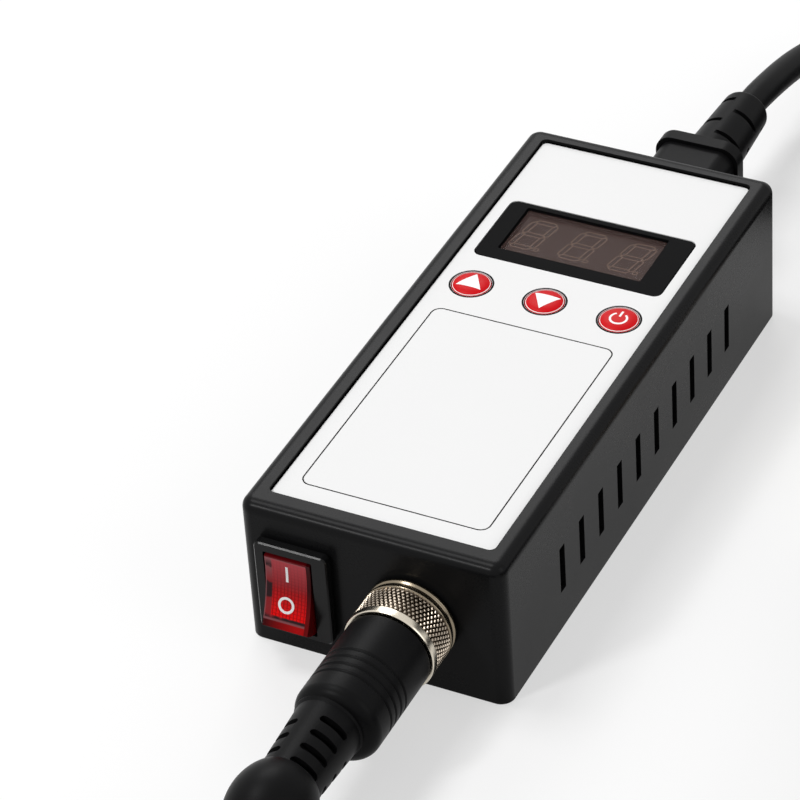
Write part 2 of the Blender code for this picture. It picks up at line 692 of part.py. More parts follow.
def case_openings():
    """Everything cut through the case's walls, as bodies that don't touch each other."""
    through = 3 * SIDE_WALL
    openings = [
        block("opening", (DISPLAY_WIDTH + 2 * (BEZEL_WALL + GAP),
                          DISPLAY_LENGTH + 2 * (BEZEL_WALL + GAP), 3 * TOP_WALL),
              low=(DISPLAY_X, DISPLAY_Y, CEILING - TOP_WALL)),
        block("opening", (ROCKER_BODY_WIDTH + 2 * GAP, through, ROCKER_BODY_HEIGHT + 2 * GAP),
              low=(ROCKER_X, FRONT, ROCKER_Z - ROCKER_BODY_HEIGHT / 2 - GAP)),
        block("opening", (INLET_BODY_WIDTH + 2 * GAP, through, INLET_BODY_HEIGHT + 2 * GAP),
              low=(INLET_X, REAR, INLET_Z - INLET_BODY_HEIGHT / 2 - GAP)),
        moved(cylinder("opening", THREAD_RADIUS + GAP, -through, through, 28),
              SOCKET_X, FRONT, SOCKET_Z, FACING_FRONT),
    ]
    for x in BUTTONS.values():
        openings.append(cylinder("opening", BUTTON_HOLE, CEILING - TOP_WALL,
                                 CASE_HEIGHT + TOP_WALL, 20, x, BUTTON_Y))
    for k in range(VENT_COUNT):
        for side in (-1, 1):
            openings.append(block(
                "opening", (through, VENT_WIDTH, VENT_HEIGHT),
                low=(side * HALF_WIDTH, VENT_FIRST_Y + k * VENT_PITCH, VENT_BOTTOM),
            ))
    for x, y in CASE_SCREWS:
        openings.append(cylinder("opening", CASE_SCREW_RADIUS + GAP, 0,
                                 CASE_SCREW_DEPTH + GAP, 10, x, y))
    return openings


def case_screw_profile(room):
    """A countersunk screw from its tip down to its head, or with room its hole."""
    low = -room if room else GAP
    return [
        (0, CASE_SCREW_DEPTH + room),
        (CASE_SCREW_RADIUS + room, CASE_SCREW_DEPTH + room),
        (CASE_SCREW_RADIUS + room, CASE_SCREW_COUNTERSINK + GAP + room),
        (CASE_SCREW_HEAD_RADIUS + room, low + room),
        (CASE_SCREW_HEAD_RADIUS + room * 0.9, low),
        (0, low),
    ]


def make_bottom_cover():
    size = (2 * (INNER_HALF_WIDTH - GAP), INNER_REAR - INNER_FRONT - 2 * GAP, COVER_THICKNESS)
    cover = part("bottom_cover", block(
        "bottom_cover", size, corner=CORNER_RADIUS / 2, steps=2,
    ), (BLACK_ABS, 0.48))
    posts = [
        cylinder("post", BOARD_POST_RADIUS, COVER_THICKNESS / 2,
                 COVER_THICKNESS + POWER_BOARD_POST, 10, x, y)
        for x, y in power_board_posts()
    ]
    join(cover, cutter("cover_posts", merged("cover_posts", posts)))
    pins = [
        cylinder("pin", BOARD_SCREW_RADIUS, COVER_THICKNESS, POWER_BOARD_TOP + 2 * GAP, 8, x, y)
        for x, y in power_board_posts()[1:3]
    ]
    join(cover, cutter("cover_pins", merged("cover_pins", pins)))
    holes = [
        moved(turned("hole", case_screw_profile(GAP), 12), x, y) for x, y in CASE_SCREWS
    ]
    holes += [
        cylinder("hole", BOARD_SCREW_RADIUS + GAP, COVER_THICKNESS / 2,
                 POWER_BOARD_BOTTOM + GAP, 10, x, y)
        for x, y in power_board_posts()[::3]
    ]
    cut(cover, cutter("cover_holes", merged("cover_holes", holes)))
    for k, (x, y) in enumerate(CASE_SCREWS):
        part(f"cover_screw_{k + 1}", moved(turned("cover_screw", case_screw_profile(0), 12),
                                           x, y), (STEEL, 0.35, 1.0))


def make_label():
    outlines = [rounded_outline(
        2 * LABEL_HALF_WIDTH, LABEL_REAR - LABEL_FRONT, LABEL_CORNER,
        0, (LABEL_FRONT + LABEL_REAR) / 2,
    )]
    outlines.append(rounded_outline(
        WINDOW_WIDTH + 2 * GAP, WINDOW_LENGTH + 2 * GAP, WINDOW_CORNER + GAP, 0, WINDOW_Y,
    ))
    outlines += [circle_outline(BUTTON_HOLE, x, BUTTON_Y) for x in BUTTONS.values()]
    mesh = moved(plate("face_label", outlines, LABEL_THICKNESS),
                 z=LABEL_TOP - LABEL_THICKNESS / 2)
    part("face_label", mesh, (WHITE, 0.35))


def make_window():
    """The black frame let into the label, with a lip that carries the tinted window."""
    flange = BEZEL_DEPTH - (LABEL_TOP - RECESS_FLOOR - GAP)
    outer = rounded_outline(WINDOW_WIDTH, WINDOW_LENGTH, WINDOW_CORNER, 0, WINDOW_Y)
    mouth = rounded_outline(DISPLAY_WIDTH, DISPLAY_LENGTH, 0.0004, DISPLAY_X, DISPLAY_Y, 2)
    bezel = part("window_bezel", moved(
        plate("window_bezel", [outer, mouth], BEZEL_DEPTH - flange),
        z=LABEL_TOP - (BEZEL_DEPTH - flange) / 2,
    ), (BLACK_ABS, 0.25))
    lip = 0.0006
    skirt = rounded_outline(DISPLAY_WIDTH + 2 * BEZEL_WALL, DISPLAY_LENGTH + 2 * BEZEL_WALL,
                            0.0004, DISPLAY_X, DISPLAY_Y, 2)
    inside = rounded_outline(DISPLAY_WIDTH - 2 * lip, DISPLAY_LENGTH - 2 * lip,
                             0.0004, DISPLAY_X, DISPLAY_Y, 2)
    overlap = (BEZEL_DEPTH - flange) / 2
    join(bezel, cutter("bezel_skirt", moved(
        plate("bezel_skirt", [skirt, mouth], flange + overlap - lip),
        z=BEZEL_BOTTOM + lip + (flange + overlap - lip) / 2,
    )))
    join(bezel, cutter("bezel_lip", moved(
        plate("bezel_lip", [skirt, inside], lip * 1.5), z=BEZEL_BOTTOM + lip * 0.75,
    )))
    glass = rounded_outline(DISPLAY_WIDTH - 2 * GAP, DISPLAY_LENGTH - 2 * GAP, 0.0004,
                            DISPLAY_X, DISPLAY_Y, 2)
    seat = BEZEL_BOTTOM + lip * 1.5 + GAP
    part("display_window", moved(
        plate("display_window", [glass], WINDOW_THICKNESS - GAP),
        z=seat + (WINDOW_THICKNESS - GAP) / 2,
    ), ((0.10, 0.035, 0.030), 0.12))


def make_display_board():
    length = DISPLAY_BOARD_REAR - DISPLAY_BOARD_FRONT
    middle = (DISPLAY_BOARD_REAR + DISPLAY_BOARD_FRONT) / 2
    outlines = [rounded_outline(BOARD_WIDTH, length, 0.0015, 0, middle, 2)]
    outlines += [
        circle_outline(STAKE_RADIUS + GAP, x, y, 8) for x, y in display_board_posts()
    ]
    part("display_board", moved(
        plate("display_board", outlines, BOARD_THICKNESS),
        z=(DISPLAY_BOARD_TOP + DISPLAY_BOARD_BOTTOM) / 2,
    ), (BOARD_GREEN, 0.5))
    part("led_display", block(
        "led_display",
        (DISPLAY_WIDTH - 4 * GAP, DISPLAY_LENGTH - 4 * GAP, DIGITS_HEIGHT),
        low=(DISPLAY_X, DISPLAY_Y, DIGITS_BOTTOM),
    ), ((0.05, 0.02, 0.02), 0.3))


def make_buttons():
    top = LABEL_TOP + BUTTON_PROUD
    rim = top - BUTTON_DOME
    flange_top = CEILING - GAP
    dome_radius = (BUTTON_RADIUS**2 + BUTTON_DOME**2) / (2 * BUTTON_DOME)
    reach = math.degrees(math.asin(BUTTON_RADIUS / dome_radius))
    dome = arc(0, top - dome_radius, dome_radius, 90, 90 - reach, 4)
    profile = [(0, top)] + dome[1:-1] + [(BUTTON_RADIUS, rim)]
    profile += [
        (BUTTON_RADIUS, flange_top),
        (BUTTON_RADIUS + 3 * GAP, flange_top),
        (BUTTON_RADIUS + 3 * GAP, flange_top - BUTTON_FLANGE),
        (SWITCH_PLUNGER_RADIUS, flange_top - BUTTON_FLANGE),
        (SWITCH_PLUNGER_RADIUS, SWITCH_TOP + GAP),
        (0, SWITCH_TOP + GAP),
    ]
    profile = [(r, h - rim) for r, h in profile]
    for name, x in BUTTONS.items():
        part(f"button_{name}", turned(f"button_{name}", profile, 18), (BRIGHT_RED, 0.3),
             Matrix.Translation((x, BUTTON_Y, rim)))
        switch = part(f"switch_{name}", block(
            f"switch_{name}", (SWITCH_BODY, SWITCH_BODY, SWITCH_BODY_HEIGHT),
            low=(x, BUTTON_Y, DISPLAY_BOARD_TOP + GAP),
        ), (BLACK_ABS, 0.4))
        join(switch, cutter(f"plunger_{name}", cylinder(
            f"plunger_{name}", SWITCH_PLUNGER_RADIUS,
            DISPLAY_BOARD_TOP + GAP + SWITCH_BODY_HEIGHT / 2, SWITCH_TOP, 12, x, BUTTON_Y,
        )))


def make_power_board():
    length = POWER_BOARD_REAR - POWER_BOARD_FRONT
    middle = (POWER_BOARD_REAR + POWER_BOARD_FRONT) / 2
    outlines = [rounded_outline(BOARD_WIDTH, length, 0.0015, 0, middle, 2)]
    outlines += [
        circle_outline(BOARD_SCREW_RADIUS + GAP, x, y, 8) for x, y in power_board_posts()
    ]
    part("power_board", moved(
        plate("power_board", outlines, BOARD_THICKNESS),
        z=(POWER_BOARD_TOP + POWER_BOARD_BOTTOM) / 2,
    ), (BOARD_GREEN, 0.5))
    head = POWER_BOARD_TOP + GAP
    profile = [
        (0, head + BOARD_SCREW_HEAD), (BOARD_SCREW_HEAD_RADIUS * 0.8, head + BOARD_SCREW_HEAD),
        (BOARD_SCREW_HEAD_RADIUS, head), (BOARD_SCREW_RADIUS, head),
        (BOARD_SCREW_RADIUS, COVER_THICKNESS), (0, COVER_THICKNESS),
    ]
    for k, (x, y) in enumerate(power_board_posts()[::3]):
        part(f"board_screw_{k + 1}", moved(turned("board_screw", profile, 10), x, y),
             (STEEL, 0.35, 1.0))
    make_power_parts(head)


def make_power_parts(seat):
    """The tall parts of the mains supply and of the heater's switch, on the power board."""
    room = DISPLAY_BOARD_BOTTOM - seat - PART_HEADROOM
    rear = POWER_BOARD_REAR - PART_INSET
    y = rear - TRANSFORMER_COIL / 2
    core = part("transformer", block(
        "transformer", (TRANSFORMER_WIDTH, TRANSFORMER_CORE, room), low=(TRANSFORMER_X, y, seat),
        corner=0.0004,
    ), ((0.10, 0.10, 0.10), 0.6))
    join(core, cutter("transformer_coil", block(
        "transformer_coil", (0.75 * TRANSFORMER_WIDTH, TRANSFORMER_COIL,
                             room - TRANSFORMER_COIL_SHORT),
        low=(TRANSFORMER_X, y, seat + TRANSFORMER_COIL_SHORT / 3), corner=0.0030,
    )))
    radius = (room - PART_HEADROOM / 3) / 2
    vent = CAPACITOR_LENGTH - 0.0004
    can = turned("filter_capacitor", [
        (0, CAPACITOR_LENGTH), (0.8 * radius, CAPACITOR_LENGTH), (0.8 * radius, vent),
        (radius, vent - 0.0004), (radius, 0.0022), (0.9 * radius, 0.0016), (radius, 0.0010),
        (radius, 0), (0, 0),
    ], 20)
    part("filter_capacitor", moved(can, CAPACITOR_X, rear - CAPACITOR_LENGTH, seat + radius,
                                   FACING_REAR), ((0.02, 0.03, 0.09), 0.35))
    y = POWER_BOARD_FRONT + HEATSINK_Y
    height = room - PART_HEADROOM
    sink = part("heatsink", block(
        "heatsink", (HEATSINK_WIDTH, HEATSINK_LENGTH, height), low=(HEATSINK_X, y, seat),
    ), ((0.45, 0.46, 0.47), 0.4, 1.0))
    fins = [
        block("fin", (FIN_GAP, 1.2 * HEATSINK_LENGTH, height),
              low=(HEATSINK_X + FIN_PITCH * (k - (FIN_GAPS - 1) / 2), y, seat + HEATSINK_BASE))
        for k in range(FIN_GAPS)
    ]
    cut(sink, cutter("heatsink_gaps", merged("heatsink_gaps", fins)))
    face = HEATSINK_X + HEATSINK_WIDTH / 2 + GAP
    triac = part("triac", block(
        "triac", (TRIAC_THICKNESS, TRIAC_WIDTH, 0.72 * room),
        low=(face + TRIAC_THICKNESS / 2, y, seat), corner=0.0003,
    ), (BLACK_ABS, 0.5))
    join(triac, cutter("triac_tab", block(
        "triac_tab", (TRIAC_TAB, 0.98 * TRIAC_WIDTH, 0.92 * room),
        low=(face + TRIAC_TAB / 2, y, seat + 0.08 * room),
    )))
    glass = FUSE_RADIUS - GAP
    part("fuse", moved(turned("fuse", [
        (0, FUSE_LENGTH), (FUSE_RADIUS, FUSE_LENGTH), (FUSE_RADIUS, FUSE_LENGTH - FUSE_CAP),
        (glass, FUSE_LENGTH - FUSE_CAP), (glass, FUSE_CAP), (FUSE_RADIUS, FUSE_CAP),
        (FUSE_RADIUS, 0), (0, 0),
    ], 16), FUSE_X, POWER_BOARD_FRONT + FUSE_FROM_FRONT, seat + FUSE_RADIUS, FACING_REAR),
         ((0.55, 0.56, 0.58), 0.3))
    y = POWER_BOARD_FRONT + HEADER_Y
    header = part("handle_header", block(
        "handle_header", (HEADER_WIDTH, HEADER_LENGTH, HEADER_HEIGHT), low=(HEADER_X, y, seat),
    ), (WHITE, 0.5))
    cut(header, cutter("header_slot", block(
        "header_slot", (HEADER_WIDTH - 2 * HEADER_WALL, HEADER_LENGTH - 2 * HEADER_WALL,
                        HEADER_HEIGHT),
        low=(HEADER_X, y, seat + 2 * HEADER_WALL),
    )))


def make_rocker():
    front = FRONT - ROCKER_BEZEL_PROUD
    outline = rounded_outline(ROCKER_BEZEL_WIDTH, ROCKER_BEZEL_HEIGHT, 0.0012, 0, 0, 3)
    bezel_mesh = plate("rocker_housing", [outline], ROCKER_BEZEL_PROUD - GAP)
    housing = part("rocker_housing", moved(
        bezel_mesh, ROCKER_X, front + (ROCKER_BEZEL_PROUD - GAP) / 2, ROCKER_Z, FACING_FRONT,
    ), (BLACK_ABS, 0.3))
    depth = ROCKER_BEZEL_PROUD / 2 + ROCKER_BODY_DEPTH
    join(housing, cutter("rocker_body", block(
        "rocker_body", (ROCKER_BODY_WIDTH, depth, ROCKER_BODY_HEIGHT),
        low=(ROCKER_X, front + ROCKER_BEZEL_PROUD / 2 + depth / 2,
             ROCKER_Z - ROCKER_BODY_HEIGHT / 2),
    )))
    ahead = 0.001
    mouth = ROCKER_MOUTH_DEPTH + ahead
    cut(housing, cutter("rocker_mouth", block(
        "rocker_mouth", (ROCKER_MOUTH_WIDTH, mouth, ROCKER_MOUTH_HEIGHT),
        low=(ROCKER_MOUTH_X, front - ahead + mouth / 2, ROCKER_MOUTH_Z - ROCKER_MOUTH_HEIGHT / 2),
    )))
    reach = ROCKER_MOUTH_HEIGHT / 2 - SLIP
    corner = math.degrees(math.acos(ROCKER_KEY_PROUD / reach))
    back = math.degrees(math.acos(ROCKER_KEY_BACK / reach))
    # In the key's own plane, +X is out of the panel and +Y is up.
    outline = arc(0, 0, reach, corner, 180 - back, 5)
    outline += arc(0, 0, reach, 180 + back, 360 - corner, 5)
    outline.append((ROCKER_KEY_PROUD - ROCKER_KEY_DISH, 0))
    key_mesh = plate("rocker_key", [outline], ROCKER_MOUTH_WIDTH - 2 * SLIP)
    out_of_panel = Matrix(((0, 0, -1, 0), (-1, 0, 0, 0), (0, 1, 0, 0), (0, 0, 0, 1)))
    pressed_on = Matrix.Rotation(-ROCKER_SWING, 4, "X")
    pivot = Matrix.Translation((ROCKER_MOUTH_X, front + ROCKER_PIVOT_DEPTH, ROCKER_MOUTH_Z))
    key_mesh.transform(pressed_on @ out_of_panel)
    part("rocker_key", key_mesh, ((0.55, 0.012, 0.012), 0.2), pivot)
    floor = front + ROCKER_MOUTH_DEPTH
    lamp_radius = 0.0018
    lamp = turned("rocker_lamp", [
        (0, 0.0045), (0.0010, 0.0043), (lamp_radius, 0.0035), (lamp_radius, -0.0045),
        (0, -0.0045),
    ], 14)
    part("rocker_lamp", moved(lamp, ROCKER_MOUTH_X, floor - GAP - lamp_radius,
                              ROCKER_MOUTH_Z), ((0.75, 0.35, 0.20), 0.15))
    behind = FRONT + ROCKER_BODY_DEPTH - 0.0010
    blades = [
        block("blade", (0.0048, 0.0090, 0.0008), low=(ROCKER_X, behind + 0.0045, ROCKER_Z + z))
        for z in (-0.0070, -0.0004, 0.0062)
    ]
    join(housing, cutter("rocker_blades", merged("rocker_blades", blades)))


def pin_places():
    """The plug's pins: a ring of them with one in the middle."""
    ring = PIN_COUNT - 1
    turns = [math.tau * k / ring for k in range(ring)]
    return [(0.0, 0.0)] + [(PIN_CIRCLE * math.cos(t), PIN_CIRCLE * math.sin(t)) for t in turns]


def on_socket(mesh):
    """Moves a mesh from its own axis to the socket's. Its Z is the distance from the panel."""
    return moved(mesh, SOCKET_X, FRONT, SOCKET_Z, FACING_FRONT)


def make_panel_socket():
    step = SOCKET_BORE - INSERT_STEP
    part("panel_socket", on_socket(turned("panel_socket", [
        (SOCKET_BORE, SOCKET_REACH), (THREAD_RADIUS - GAP, SOCKET_REACH),
        (THREAD_RADIUS, SOCKET_REACH - GAP), (THREAD_RADIUS, GAP + SOCKET_COLLAR),
        (SOCKET_COLLAR_RADIUS, GAP + SOCKET_COLLAR), (SOCKET_COLLAR_RADIUS, GAP),
        (THREAD_RADIUS, GAP), (THREAD_RADIUS, -SOCKET_TAIL), (step, -SOCKET_TAIL),
        (step, 0), (SOCKET_BORE, 0),
    ], 24, ring=True)), (NICKEL, 0.3, 1.0))
    nut = part("socket_nut", on_socket(cylinder(
        "socket_nut", SOCKET_NUT_RADIUS, -SIDE_WALL - GAP - SOCKET_NUT_THICKNESS,
        -SIDE_WALL - GAP, 6,
    )), (NICKEL, 0.35, 1.0))
    cut(nut, cutter("socket_nut_bore", on_socket(cylinder(
        "socket_nut_bore", THREAD_RADIUS + GAP, -3 * SOCKET_TAIL, SOCKET_TAIL, 24,
    ))))
    disc = part("socket_insert", on_socket(cylinder(
        "socket_insert", step - GAP, -SOCKET_TAIL + GAP, -GAP, 24,
    )), (BLACK_ABS, 0.5))
    pins = [
        cylinder("pin", PIN_RADIUS, PIN_REACH - PIN_LENGTH, PIN_REACH, 6, x, y)
        for x, y in pin_places()
    ]
    join(disc, cutter("socket_pins", on_socket(merged("socket_pins", pins))))


def make_round_plug():
    nut_end = NUT_STANDOFF + NUT_LENGTH
    flange_low = SOCKET_REACH + GAP
    flange_high = nut_end - NUT_LIP - GAP
    bore = THREAD_RADIUS + SLIP
    relief = SOCKET_COLLAR_RADIUS + SLIP
    relief_end = GAP + SOCKET_COLLAR + SLIP
    lip = SLEEVE_RADIUS + 2 * GAP
    low = NUT_STANDOFF
    knurl_low = low + 0.0030
    knurl_high = nut_end - 0.0021
    nut = turned("coupling_nut", [
        (lip, nut_end), (NUT_RADIUS - 0.0004, nut_end), (NUT_RADIUS, nut_end - 0.0004),
        (NUT_RADIUS, knurl_high), (NUT_RADIUS - NUT_GROOVE, knurl_high - 0.0002),
        (NUT_RADIUS - NUT_GROOVE, knurl_low + 0.0002), (NUT_RADIUS, knurl_low),
        (NUT_RADIUS, low + 0.0004), (NUT_RADIUS - 0.0003, low), (relief, low),
        (relief, relief_end), (bore, relief_end), (bore, nut_end - NUT_LIP),
        (lip, nut_end - NUT_LIP),
    ], 32, ring=True)
    part("coupling_nut", nut, (NICKEL, 0.28, 1.0),
         Matrix.Translation((SOCKET_X, FRONT, SOCKET_Z)) @ FACING_FRONT)
    inner = SLEEVE_RADIUS - SLEEVE_WALL
    part("plug_sleeve", on_socket(turned("plug_sleeve", [
        (inner, nut_end + SLEEVE_TAIL), (SLEEVE_RADIUS, nut_end + SLEEVE_TAIL),
        (SLEEVE_RADIUS, flange_high), (THREAD_RADIUS - GAP, flange_high),
        (THREAD_RADIUS - GAP, flange_low), (SLEEVE_RADIUS, flange_low),
        (SLEEVE_RADIUS, SLEEVE_FLANGE), (inner, SLEEVE_FLANGE),
    ], 24, ring=True)), (NICKEL, 0.3, 1.0))
    plug_face = 2 * SLEEVE_FLANGE
    insert = part("plug_insert", on_socket(cylinder(
        "plug_insert", inner - GAP, plug_face, nut_end + GAP, 20,
    )), (BLACK_ABS, 0.5))
    bores = [
        cylinder("bore", PIN_RADIUS + GAP, 0, PIN_REACH + SLEEVE_FLANGE, 6, x, y)
        for x, y in pin_places()
    ]
    cut(insert, cutter("plug_bores", on_socket(merged("plug_bores", bores))))
    make_boot(nut_end + GAP)


def relief_slots(name, places, floor, reach, width, turn):
    """Cutters for the slots of a strain relief along Z: two columns, each on both sides."""
    slots = []
    for k, place in enumerate(places):
        for side in (0, math.pi):
            bar = block("slot", (reach, 2 * reach, width), low=(floor + reach / 2, 0, place))
            angle = turn + side + (math.pi / 2) * (k % 2)
            slots.append(moved(bar, turn=Matrix.Rotation(angle, 4, "Z")))
    return merged(name, slots)


def make_boot(front):
    """The black moulded boot with its grooves, its slotted strain relief and its bulb."""
    hollow = SLEEVE_RADIUS + GAP
    hollow_end = front + SLEEVE_TAIL
    half = BOOT_GROOVE_WIDTH / 2
    profile = [(0, hollow_end), (hollow, hollow_end), (hollow, front),
               (BOOT_RADIUS - 0.0003, front), (BOOT_RADIUS, front + 0.0003)]
    for place in BOOT_GROOVES:
        centre = front + place
        profile += [
            (BOOT_RADIUS, centre - half), (BOOT_RADIUS - BOOT_GROOVE_DEPTH, centre),
            (BOOT_RADIUS, centre + half),
        ]
    boot_end = front + BOOT_LENGTH
    profile += arc(BOOT_RADIUS - BOOT_SHOULDER, boot_end - BOOT_SHOULDER, BOOT_SHOULDER,
                   0, 90, 5)
    profile.append((0, boot_end))
    boot = part("plug_boot", on_socket(turned("plug_boot", profile, 26)), (BLACK_RUBBER, 0.5))
    relief_end = boot_end + RELIEF_LENGTH
    bulb_end = relief_end + BULB_LENGTH
    start = boot_end - BOOT_SHOULDER
    tail = [(0, start), (RELIEF_RADIUS, start), (RELIEF_RADIUS, boot_end),
            (RELIEF_END_RADIUS, relief_end)]
    middle = relief_end + BULB_LENGTH / 2
    lean = math.degrees(math.asin(RELIEF_END_RADIUS / BULB_RADIUS))
    half_length = BULB_LENGTH / 2 / math.cos(math.radians(lean))
    for a in np.linspace(180 - lean, lean, 9)[1:]:
        turn = math.radians(a)
        tail.append((BULB_RADIUS * math.sin(turn), middle - half_length * math.cos(turn)))
    tail[-1] = (RELIEF_END_RADIUS - 0.0012, bulb_end)
    tail.append((0, bulb_end))
    join(boot, cutter("boot_relief", moved(turned("boot_relief", tail, 24),
                                           RELIEF_X, FRONT, SOCKET_Z, FACING_FRONT)))
    count = 4
    rows = [boot_end + RELIEF_SLOT_FIRST + RELIEF_SLOT_PITCH * k - RELIEF_SLOT_WIDTH / 2
            for k in range(count)]
    reach = RELIEF_RADIUS
    slots = []
    for k, row in enumerate(rows):
        for quarter in range(4):
            shift = 0.0 if quarter % 2 == 0 else RELIEF_SLOT_PITCH / 2
            if quarter % 2 and k == count - 1:
                continue
            bar = block("slot", (reach, 2 * reach, RELIEF_SLOT_WIDTH),
                        low=(RELIEF_SLOT_FLOOR + reach / 2, 0, row + shift))
            # Turned to face the front, the bar's angle about the axis changes its sense.
            angle = -RELIEF_SLOT_TURN + quarter * math.pi / 2
            slots.append(moved(bar, turn=Matrix.Rotation(angle, 4, "Z")))
    mesh = moved(merged("boot_slots", slots), RELIEF_X, FRONT, SOCKET_Z, FACING_FRONT)
    cut(boot, cutter("boot_slots", mesh))


def on_inlet(mesh):
    """Moves a mesh from its own axis to the inlet's. Its Z is the distance from the rear."""
    return moved(mesh, INLET_X, REAR, INLET_Z, FACING_REAR)


def inlet_pin_places():
    # Turned to face the rear, +Y here is down on the case.
    return [(-INLET_PIN_SPACING, INLET_PIN_DROP / 2), (INLET_PIN_SPACING, INLET_PIN_DROP / 2),
            (0, -INLET_PIN_DROP)]


def make_inlet():
    inlet = part("mains_inlet", on_inlet(block(
        "mains_inlet", (INLET_FLANGE_WIDTH, INLET_FLANGE_HEIGHT, INLET_FLANGE - GAP),
        low=(0, 0, GAP), corner=0.0020,
    )), (BLACK_ABS, 0.4))
    join(inlet, cutter("inlet_body", on_inlet(block(
        "inlet_body", (INLET_BODY_WIDTH, INLET_BODY_HEIGHT, INLET_BODY_DEPTH + INLET_FLANGE / 2),
        low=(0, 0, -INLET_BODY_DEPTH), corner=0.0010, steps=2,
    ))))
    recess = NOSE_DEPTH + GAP
    cut(inlet, cutter("inlet_recess", on_inlet(block(
        "inlet_recess", (NOSE_WIDTH + 2 * GAP, NOSE_HEIGHT + 2 * GAP, recess + 2 * INLET_FLANGE),
        low=(0, 0, -recess), corner=0.0025 + GAP,
    ))))
    tail = INLET_BODY_DEPTH + 0.0040
    pins = [
        cylinder("pin", INLET_PIN_RADIUS, -tail, -0.0015, 8, x, y)
        for x, y in inlet_pin_places()
    ]
    join(inlet, cutter("inlet_pins", on_inlet(merged("inlet_pins", pins))))


def make_connector():
    """The connector on the mains lead: nose, body, grip flange and slotted strain relief."""
    face = INLET_FLANGE + GAP
    grip = face + CONNECTOR_LENGTH
    relief = grip + GRIP_THICKNESS
    body = part("mains_connector", on_inlet(smoothed(block(
        "mains_connector", (CONNECTOR_WIDTH, CONNECTOR_HEIGHT, CONNECTOR_LENGTH + GAP),
        low=(0, 0, face), corner=GRIP_CORNER, steps=3,
    ))), (BLACK_RUBBER, 0.45))
    join(body, cutter("connector_grip", on_inlet(block(
        "connector_grip", (GRIP_WIDTH, GRIP_HEIGHT, GRIP_THICKNESS), low=(0, 0, grip),
        corner=GRIP_CORNER, steps=3, edge=0.0008,
    ))))
    join(body, cutter("connector_nose", on_inlet(block(
        "connector_nose", (NOSE_WIDTH, NOSE_HEIGHT, NOSE_DEPTH + 2 * face),
        low=(0, 0, -NOSE_DEPTH), corner=0.0025,
    ))))
    join(body, cutter("connector_relief", on_inlet(turned("connector_relief", [
        (0, relief - GRIP_THICKNESS / 2), (LEAD_RELIEF_RADIUS, relief - GRIP_THICKNESS / 2),
        (LEAD_RELIEF_RADIUS, relief),
        (LEAD_RELIEF_END_RADIUS + 0.0002, relief + LEAD_RELIEF_LENGTH - 0.0014),
        (LEAD_RELIEF_END_RADIUS - 0.0008, relief + LEAD_RELIEF_LENGTH),
        (0, relief + LEAD_RELIEF_LENGTH),
    ], 20))))
    places = [relief + place - LEAD_SLOT_WIDTH / 2 for place in LEAD_SLOT_PLACES]
    cut(body, cutter("connector_slots", on_inlet(relief_slots(
        "connector_slots", places, LEAD_SLOT_FLOOR, LEAD_RELIEF_RADIUS, LEAD_SLOT_WIDTH,
        math.radians(-45),
    ))))
    bores = [
        cylinder("bore", INLET_PIN_RADIUS + GAP, -2 * NOSE_DEPTH, -0.0008, 8, x, y)
        for x, y in inlet_pin_places()
    ]
    cut(body, cutter("connector_bores", on_inlet(merged("connector_bores", bores))))


def make_wall_plug():
    """The moulded plug at the far end of the mains lead, lying on the surface."""
    x, y = WALL_PLUG_AT
    height = WALL_PLUG_HEIGHT / 2 + GAP
    place = Matrix.Translation((x, y, height)) @ FACING_FRONT
    start = WALL_PLUG_RELIEF
    end = start + WALL_PLUG_LENGTH
    body = part("wall_plug", smoothed(block(
        "wall_plug", (WALL_PLUG_WIDTH, WALL_PLUG_HEIGHT, WALL_PLUG_LENGTH), low=(0, 0, start),
        corner=WALL_PLUG_CORNER, steps=4,
    )), (BLACK_RUBBER, 0.45), place)
    join(body, cutter("wall_plug_relief", turned("wall_plug_relief", [
        (0, start + 0.0030), (0.0085, start + 0.0030), (0.0080, start - 0.0020),
        (0.0060, start - 0.0060), (0.0043, 0), (0, 0),
    ], 20), place))
    # Facing the front, +Y here is up.
    low = end - BLADE_SEAT
    pins = [
        block("blade", (BLADE_THICKNESS, BLADE_WIDTH, BLADE_SEAT + BLADE_LENGTH),
              low=(sx * BLADE_SPACING / 2, BLADE_LIFT, low))
        for sx in (-1, 1)
    ]
    pins.append(cylinder("pin", EARTH_PIN_RADIUS, low, end + EARTH_PIN_LENGTH, 12,
                         0, -EARTH_PIN_DROP))
    join(body, cutter("wall_plug_pins", merged("wall_plug_pins", pins), place))


def make_coil(name, centre, radius, diameter, columns, tie_angle):
    """The outer shape of a coil's turns, and the strap that holds them."""
    half = diameter * (1 + TURN_SPACING * (columns - 1)) / 2
    low = COIL_FLOOR
    high = COIL_FLOOR + diameter * (1 + TURN_SPACING * (COIL_LAYERS - 1))
    soft = diameter / 4  # how far the ring's and the strap's corners are taken off
    ring = turned(f"{name}_coil", [
        (radius - half, low + soft), (radius - half + soft, low), (radius + half - soft, low),
        (radius + half, low + soft), (radius + half, high - soft), (radius + half - soft, high),
        (radius - half + soft, high), (radius - half, high - soft),
    ], 32, ring=True)
    part(f"{name}_coil", moved(ring, *centre), (BLACK_RUBBER, 0.45))
    bow = TIE_WIDTH**2 / 8 / (radius - half)  # of the coil's inside across the strap's width
    width = 2 * (half + GAP) + bow
    height = high - low + 2 * GAP
    inner = rounded_outline(width, height, soft, 0, 0, 3)
    outer = rounded_outline(width + 2 * TIE_THICKNESS, height + 2 * TIE_THICKNESS,
                            soft + TIE_THICKNESS, 0, 0, 3)
    strap = plate(f"{name}_coil_tie", [outer, inner], TIE_WIDTH)
    strap = moved(strap, radius - bow / 2, 0, (low + high) / 2, FACING_FRONT)
    place = Matrix.Translation((*centre, 0)) @ Matrix.Rotation(tie_angle, 4, "Z")
    part(f"{name}_coil_tie", strap, (BLACK_RUBBER, 0.6), place)


